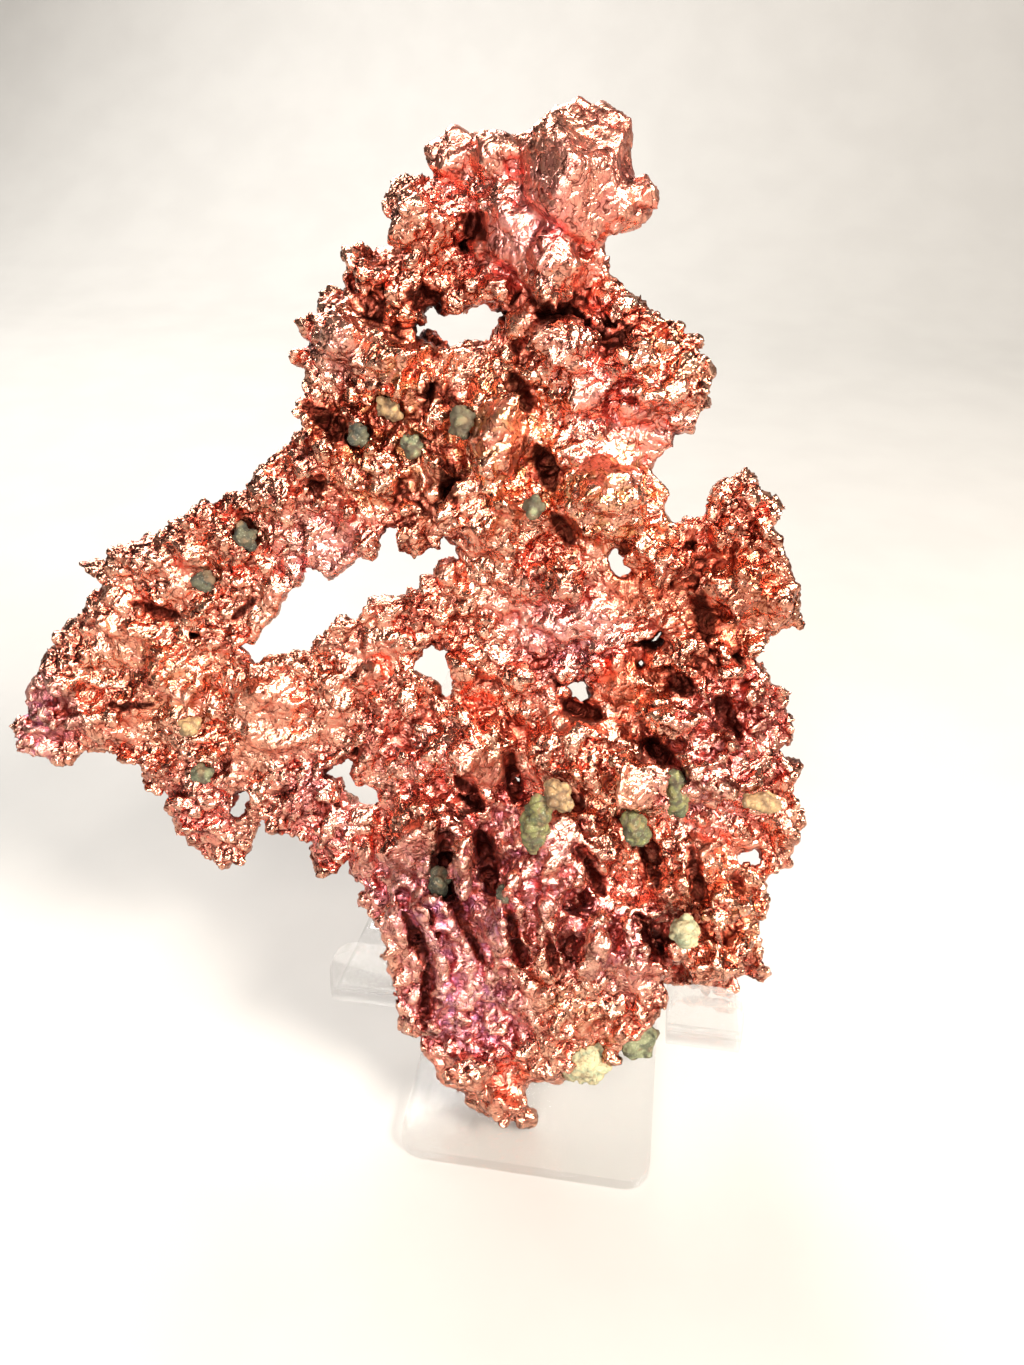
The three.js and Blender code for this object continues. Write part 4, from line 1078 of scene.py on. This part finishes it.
@dataclass
class CopperMass:
    """All of the copper: its branches, and how deep each place on them lies."""

    finish: NativeCopper = field(default_factory=NativeCopper)
    cell: float = 0.6
    near_reach: float = 0.9
    far_reach: float = 2.8
    branches: list[CopperBranch] = field(default_factory=lambda: [
        CopperBranch("copper_crown", 1, 8.0, voxel=0.32),
        CopperBranch("copper_shoulder", 2, 10.0, voxel=0.34),
        CopperBranch("copper_trunk", 3, 9.0, voxel=0.36),
        CopperBranch("copper_left_arm", 4, 10.0, voxel=0.36),
        CopperBranch("copper_left_wing", 5, 9.0, voxel=0.36),
        CopperBranch("copper_right_tower", 6, 11.0, voxel=0.34),
        CopperBranch("copper_base", 7, 10.0, voxel=0.42, fissure_depth=1.8, valley_depth=1.3,
                     stretch=(0.8, 1.0, 1.6)),
    ])

    def build(self) -> None:
        """Grow every branch, then work out what lies deep."""
        for branch in self.branches:
            branch.build()
        self._deepen()

    def _deepen(self) -> None:
        """Keep on each branch how buried or raised its places are, for its painted shade and painted
        highlight, and its tints.
        """
        skins = [branch.piece.data for branch in self.branches]
        arrays = [mesh_arrays(skin) for skin in skins]
        areas = [vertex_areas(points, corners) for points, corners in arrays]
        crowd = Crowding(np.concatenate([points for points, _ in arrays]), np.concatenate(areas),
                         self.cell)
        near = crowd.blurred(self.near_reach)
        far = crowd.blurred(self.far_reach)
        for branch, skin, (points, _) in zip(self.branches, skins, arrays):
            facing = mesh_normals(skin)
            seen = drawn(points)
            calm = calmness(points, seen)
            close = crowd.read(near, points + facing * self.near_reach, self.near_reach)
            wide = crowd.read(far, points + facing * self.far_reach, self.far_reach)
            depth = (CLOSE_SHARE * close + WIDE_SHARE * wide
                     + CREVICE_SHARE * fissured(seen, facing))
            painted_highlight = np.clip((CREST_FROM - close) / CREST_SPAN, 0, 1)
            keep_values(skin, "painted_shade", np.clip((depth - DEEP_FROM) / (DEEP_TO - DEEP_FROM), 0, 1))
            keep_values(skin, "calm", calm)
            keep_values(skin, "painted_highlight", painted_highlight * (1 - 0.7 * calm))
            keep_values(skin, "crack_shade", branch.cracks(points) * (1 - 0.8 * calm))
            for name, spots in TINTS.items():
                keep_values(skin, name, strongest(seen, spots))

    def dress(self) -> None:
        """Give every branch the same finish."""
        material = self.finish.material()
        for branch in self.branches:
            branch.dress(material, "copper")


class Crowding:
    """How much skin lies round a place, read from a grid of small cells."""

    def __init__(self, places: np.ndarray, weights: np.ndarray, cell: float) -> None:
        """Fill the grid.

        Args:
            places: Places on the skin, in millimetres.
            weights: The area of skin that each place stands for.
            cell: The size of a cell.
        """
        self.cell = cell
        pad = 8.0
        self.low = places.min(axis=0) - pad
        self.shape = np.ceil((places.max(axis=0) + pad - self.low) / cell).astype(int)
        index = ((places - self.low) / cell).astype(int)
        flat = np.ravel_multi_index(index.T, self.shape)
        total = np.bincount(flat, weights, int(np.prod(self.shape)))
        self.grid = total.reshape(self.shape) / cell ** 3

    def blurred(self, reach: float) -> np.ndarray:
        """The grid, blurred evenly in every direction by reach in millimetres."""
        spectrum = np.fft.rfftn(self.grid)
        for axis, size in enumerate(self.shape):
            waves = np.fft.rfftfreq(size) if axis == 2 else np.fft.fftfreq(size)
            fade = np.exp(-2 * (math.pi * waves * reach / self.cell) ** 2)
            spectrum *= fade.reshape([-1 if a == axis else 1 for a in range(3)])
        return np.fft.irfftn(spectrum, self.shape, axes=(0, 1, 2))

    def read(self, grid: np.ndarray, places: np.ndarray, reach: float) -> np.ndarray:
        """Read a blurred grid, so that a flat open skin gives 1.

        Args:
            grid: The blurred grid.
            places: Where to read it, in millimetres.
            reach: The blur, which is also how far the places stand off the skin.

        Returns:
            One value per place.
        """
        flat = math.exp(-0.5) / (reach * math.sqrt(2 * math.pi))
        spot = (places - self.low) / self.cell - 0.5
        base = np.clip(np.floor(spot).astype(int), 0, np.array(self.shape) - 2)
        part = np.clip(spot - base, 0, 1)
        total = np.zeros(len(places))
        for corner in np.ndindex(2, 2, 2):
            step = np.array(corner)
            weight = np.prod(np.where(step, part, 1 - part), axis=1)
            x, y, z = (base + step).T
            total += weight * grid[x, y, z]
        return total / flat


# Every stone's kind, and how much painted shade darkens it, which is more where it lies deep
STONES = {
    "matrix_cream": (StoneKind.PALE, 0.0), "matrix_grey_green": (StoneKind.GREEN, 0.0),
    "matrix_moss": (StoneKind.OLIVE, 0.2), "matrix_tan": (StoneKind.TAN, 0.2),
    "matrix_olive": (StoneKind.OLIVE, 0.3), "matrix_olive_right": (StoneKind.OLIVE, 0.25),
    "matrix_beige": (StoneKind.TAN, 0.0), "matrix_pale_green": (StoneKind.PALE, 0.0),
    "matrix_dark_left": (StoneKind.DARK, 0.0), "matrix_dark_low": (StoneKind.DARK, 0.0),
    "matrix_shoulder_beige": (StoneKind.TAN, 0.15), "matrix_shoulder_green": (StoneKind.GREEN, 0.35),
    "matrix_shoulder_dark": (StoneKind.DARK, 0.0), "matrix_trunk_green": (StoneKind.GREEN, 0.6),
    "matrix_trunk_small": (StoneKind.GREEN, 0.5), "matrix_arm_dark": (StoneKind.DARK, 0.0),
    "matrix_arm_low": (StoneKind.DARK, 0.0), "matrix_wing_grey": (StoneKind.GREEN, 0.3),
    "matrix_wing_pale": (StoneKind.TAN, 0.0),
}


@dataclass
class MatrixPebble(Piece):
    """One stone in its pocket, crumbly and rounded by the acid that cleaned the copper."""

    kind: StoneKind
    deep_shade: float
    swell: float = 0.2
    voxel: float = 0.26
    # The grains of the stone, how far they stand out of the gaps round them, and what makes the
    # stone uneven, as pairs of a size and a height
    grain: float = 1.5
    gap: float = 0.4
    grain_height: float = 0.35
    facets: tuple[float, float] = (1.8, 0.45)
    bumps: tuple[tuple[float, float], ...] = ((1.2, 0.25), (0.5, 0.1))

    def build(self) -> None:
        """Shape the stone over its solid."""
        mesh = self.even_skin(self.voxel)
        places, _ = mesh_arrays(mesh)
        near, far = BROAD.cells(places / self.grain)
        dent = self.grain_height * np.sqrt(np.clip((far - near) / self.gap, 0, 1))
        size, height = self.facets
        rise = self.swell + dent + height * FINE.facets(places / size)
        for size, height in self.bumps:
            rise = rise + height * FINE.hills(places / size)
        move_vertices(mesh, places + mesh_normals(mesh) * rise[:, None])
        # Painted shade: darker in the gaps between the grains, and all over a stone that lies deep
        keep_values(mesh, "painted_shade", np.clip(0.8 - 2.6 * dent + self.deep_shade, 0, 1))
        self.show(mesh, "_stone")


@dataclass
class Easel(Piece):
    """The bent sheet, with its cut edges rounded over."""

    node: str = "display_stand"
    edge: float = 0.8
    edge_steps: int = 4
    sharp: float = math.radians(50)
    flat: float = math.radians(1)
    weld: float = 0.002
    finish: CastAcrylic = field(default_factory=CastAcrylic)

    def build(self) -> None:
        """Round the edges of the easel's solid, and keep which vertices lie on the rim."""
        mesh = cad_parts[self.node].data.copy()
        bm = bmesh.new()
        bm.from_mesh(mesh)
        bmesh.ops.remove_doubles(bm, verts=bm.verts, dist=self.weld * MM)
        bmesh.ops.dissolve_limit(bm, angle_limit=self.flat, verts=bm.verts, edges=bm.edges)
        cut = [e for e in bm.edges if e.is_manifold and e.calc_face_angle() > self.sharp]
        bevel = bmesh.ops.bevel(bm, geom=cut, offset=self.edge * MM, segments=self.edge_steps,
                                profile=0.5, affect="EDGES", clamp_overlap=True)
        rounded = set(bevel["faces"])
        rim = np.array([float(rounded.issuperset(vert.link_faces)) for vert in bm.verts])
        bm.to_mesh(mesh)
        bm.free()
        keep_values(mesh, "rim", rim)
        self.show(mesh, "_sheet")
        even = self.piece.modifiers.new("even", "WEIGHTED_NORMAL")
        even.keep_sharp = True


@dataclass(frozen=True)
class Softbox:
    """A soft lamp that faces the specimen, in metres and watts."""

    name: str
    place: tuple[float, float, float]
    width: float
    height: float
    power: float
    colour: str = "#FFFFFF"
    aim: tuple[float, float, float] = (-0.01, -0.01, 0.07)

    def build(self) -> None:
        """Hang the lamp."""
        lamp = bpy.data.lights.new(self.name, "AREA")
        lamp.shape = "RECTANGLE"
        lamp.size = self.width
        lamp.size_y = self.height
        lamp.energy = self.power
        lamp.color = linear(self.colour)[:3]
        holder = placed(self.name, lamp)
        holder.location = self.place
        line = Vector(self.aim) - Vector(self.place)
        holder.rotation_euler = line.to_track_quat("-Z", "Y").to_euler()


@dataclass
class Studio:
    """The pale sweep, the lamps and the camera, in metres."""

    card: PaperSweep = field(default_factory=PaperSweep)
    sweep_front: float = -0.9
    sweep_back: float = 0.75
    sweep_rise: float = 0.3
    sweep_top: float = 1.3
    sweep_half: float = 1.6
    sweep_steps: int = 24
    lamps: list[Softbox] = field(default_factory=lambda: [
        Softbox("key_right", (0.44, -0.24, 0.50), 0.20, 0.20, 13.0, "#FFF8F0"),
        Softbox("front_high", (0.02, -0.50, 0.55), 0.30, 0.24, 5.2, "#FFFAF4"),
        Softbox("fill_low", (-0.16, -0.75, 0.26), 0.30, 0.20, 4.6, "#F8F8FF"),
        Softbox("top", (-0.36, 0.46, 0.60), 0.60, 0.40, 12.0),
    ])
    world: float = 0.14
    world_colour: str = "#F7F4F0"
    # The photograph was taken from close by and above, slightly from the right
    eye: tuple[float, float, float] = (0.0132165, -0.1168973, 0.1583166)
    pitch: float = math.radians(34)
    azimuth: float = math.radians(9)
    focal_pixels: float = 1025.0
    image_height: float = 1365.0
    film_mm: float = 36.0
    nearest: float = 0.005

    def build(self) -> None:
        """Lay the sweep, hang the lamps and set the camera."""
        self._sweep()
        for lamp in self.lamps:
            lamp.build()
        self._air()
        self._camera()

    def _sweep(self) -> None:
        """Lay a sheet of card that curves up behind the specimen."""
        turn_at = self.sweep_back - self.sweep_rise
        profile = [(self.sweep_front, 0.0)]
        for i in range(self.sweep_steps + 1):
            angle = math.pi / 2 * i / self.sweep_steps
            profile.append((turn_at + self.sweep_rise * math.sin(angle),
                            self.sweep_rise * (1 - math.cos(angle))))
        profile.append((self.sweep_back, self.sweep_top))
        bm = bmesh.new()
        rows = [[bm.verts.new((x, y, z)) for x in (-self.sweep_half, self.sweep_half)]
                for y, z in profile]
        for low, high in zip(rows, rows[1:]):
            bm.faces.new((low[0], low[1], high[1], high[0]))
        mesh = bpy.data.meshes.new("card_sweep")
        bm.to_mesh(mesh)
        bm.free()
        smooth_shaded(mesh)
        mesh.materials.append(self.card.material())
        placed("card_sweep", mesh)

    def _air(self) -> None:
        """Fill the room with even, pale light."""
        world = bpy.data.worlds.new("pale_room")
        world.use_nodes = True
        sky = world.node_tree.nodes["Background"]
        sky.inputs["Color"].default_value = linear(self.world_colour)
        sky.inputs["Strength"].default_value = self.world
        bpy.context.scene.world = world

    def _camera(self) -> None:
        """Set the camera where the photograph was taken from."""
        lens = bpy.data.cameras.new("camera")
        lens.sensor_width = self.film_mm
        lens.lens = self.focal_pixels / self.image_height * self.film_mm
        lens.clip_start = self.nearest
        holder = placed("camera", lens)
        holder.location = self.eye
        holder.rotation_euler = (math.pi / 2 - self.pitch, 0, self.azimuth)
        bpy.context.scene.camera = holder


def write_sizes() -> None:
    """Update the view layer."""
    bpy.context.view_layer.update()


def main() -> None:
    """Build the copper, the stones, the easel and the studio in order."""
    logging.basicConfig(level=logging.INFO, format="%(name)s: %(message)s")
    bpy.context.scene.view_settings.view_transform = "Standard"

    copper = CopperMass()
    copper.build()
    copper.dress()

    stone_finishes = {kind: MatrixStone(kind).material() for kind in StoneKind}
    for node, (kind, deep_shade) in STONES.items():
        pebble = MatrixPebble(node, kind, deep_shade)
        pebble.build()
        pebble.dress(stone_finishes[kind], f"{kind.name.lower()}_stone")

    easel = Easel()
    easel.build()
    easel.dress(easel.finish.material(), "clear_acrylic")

    Studio().build()
    write_sizes()


if __name__ == "__main__":
    main()
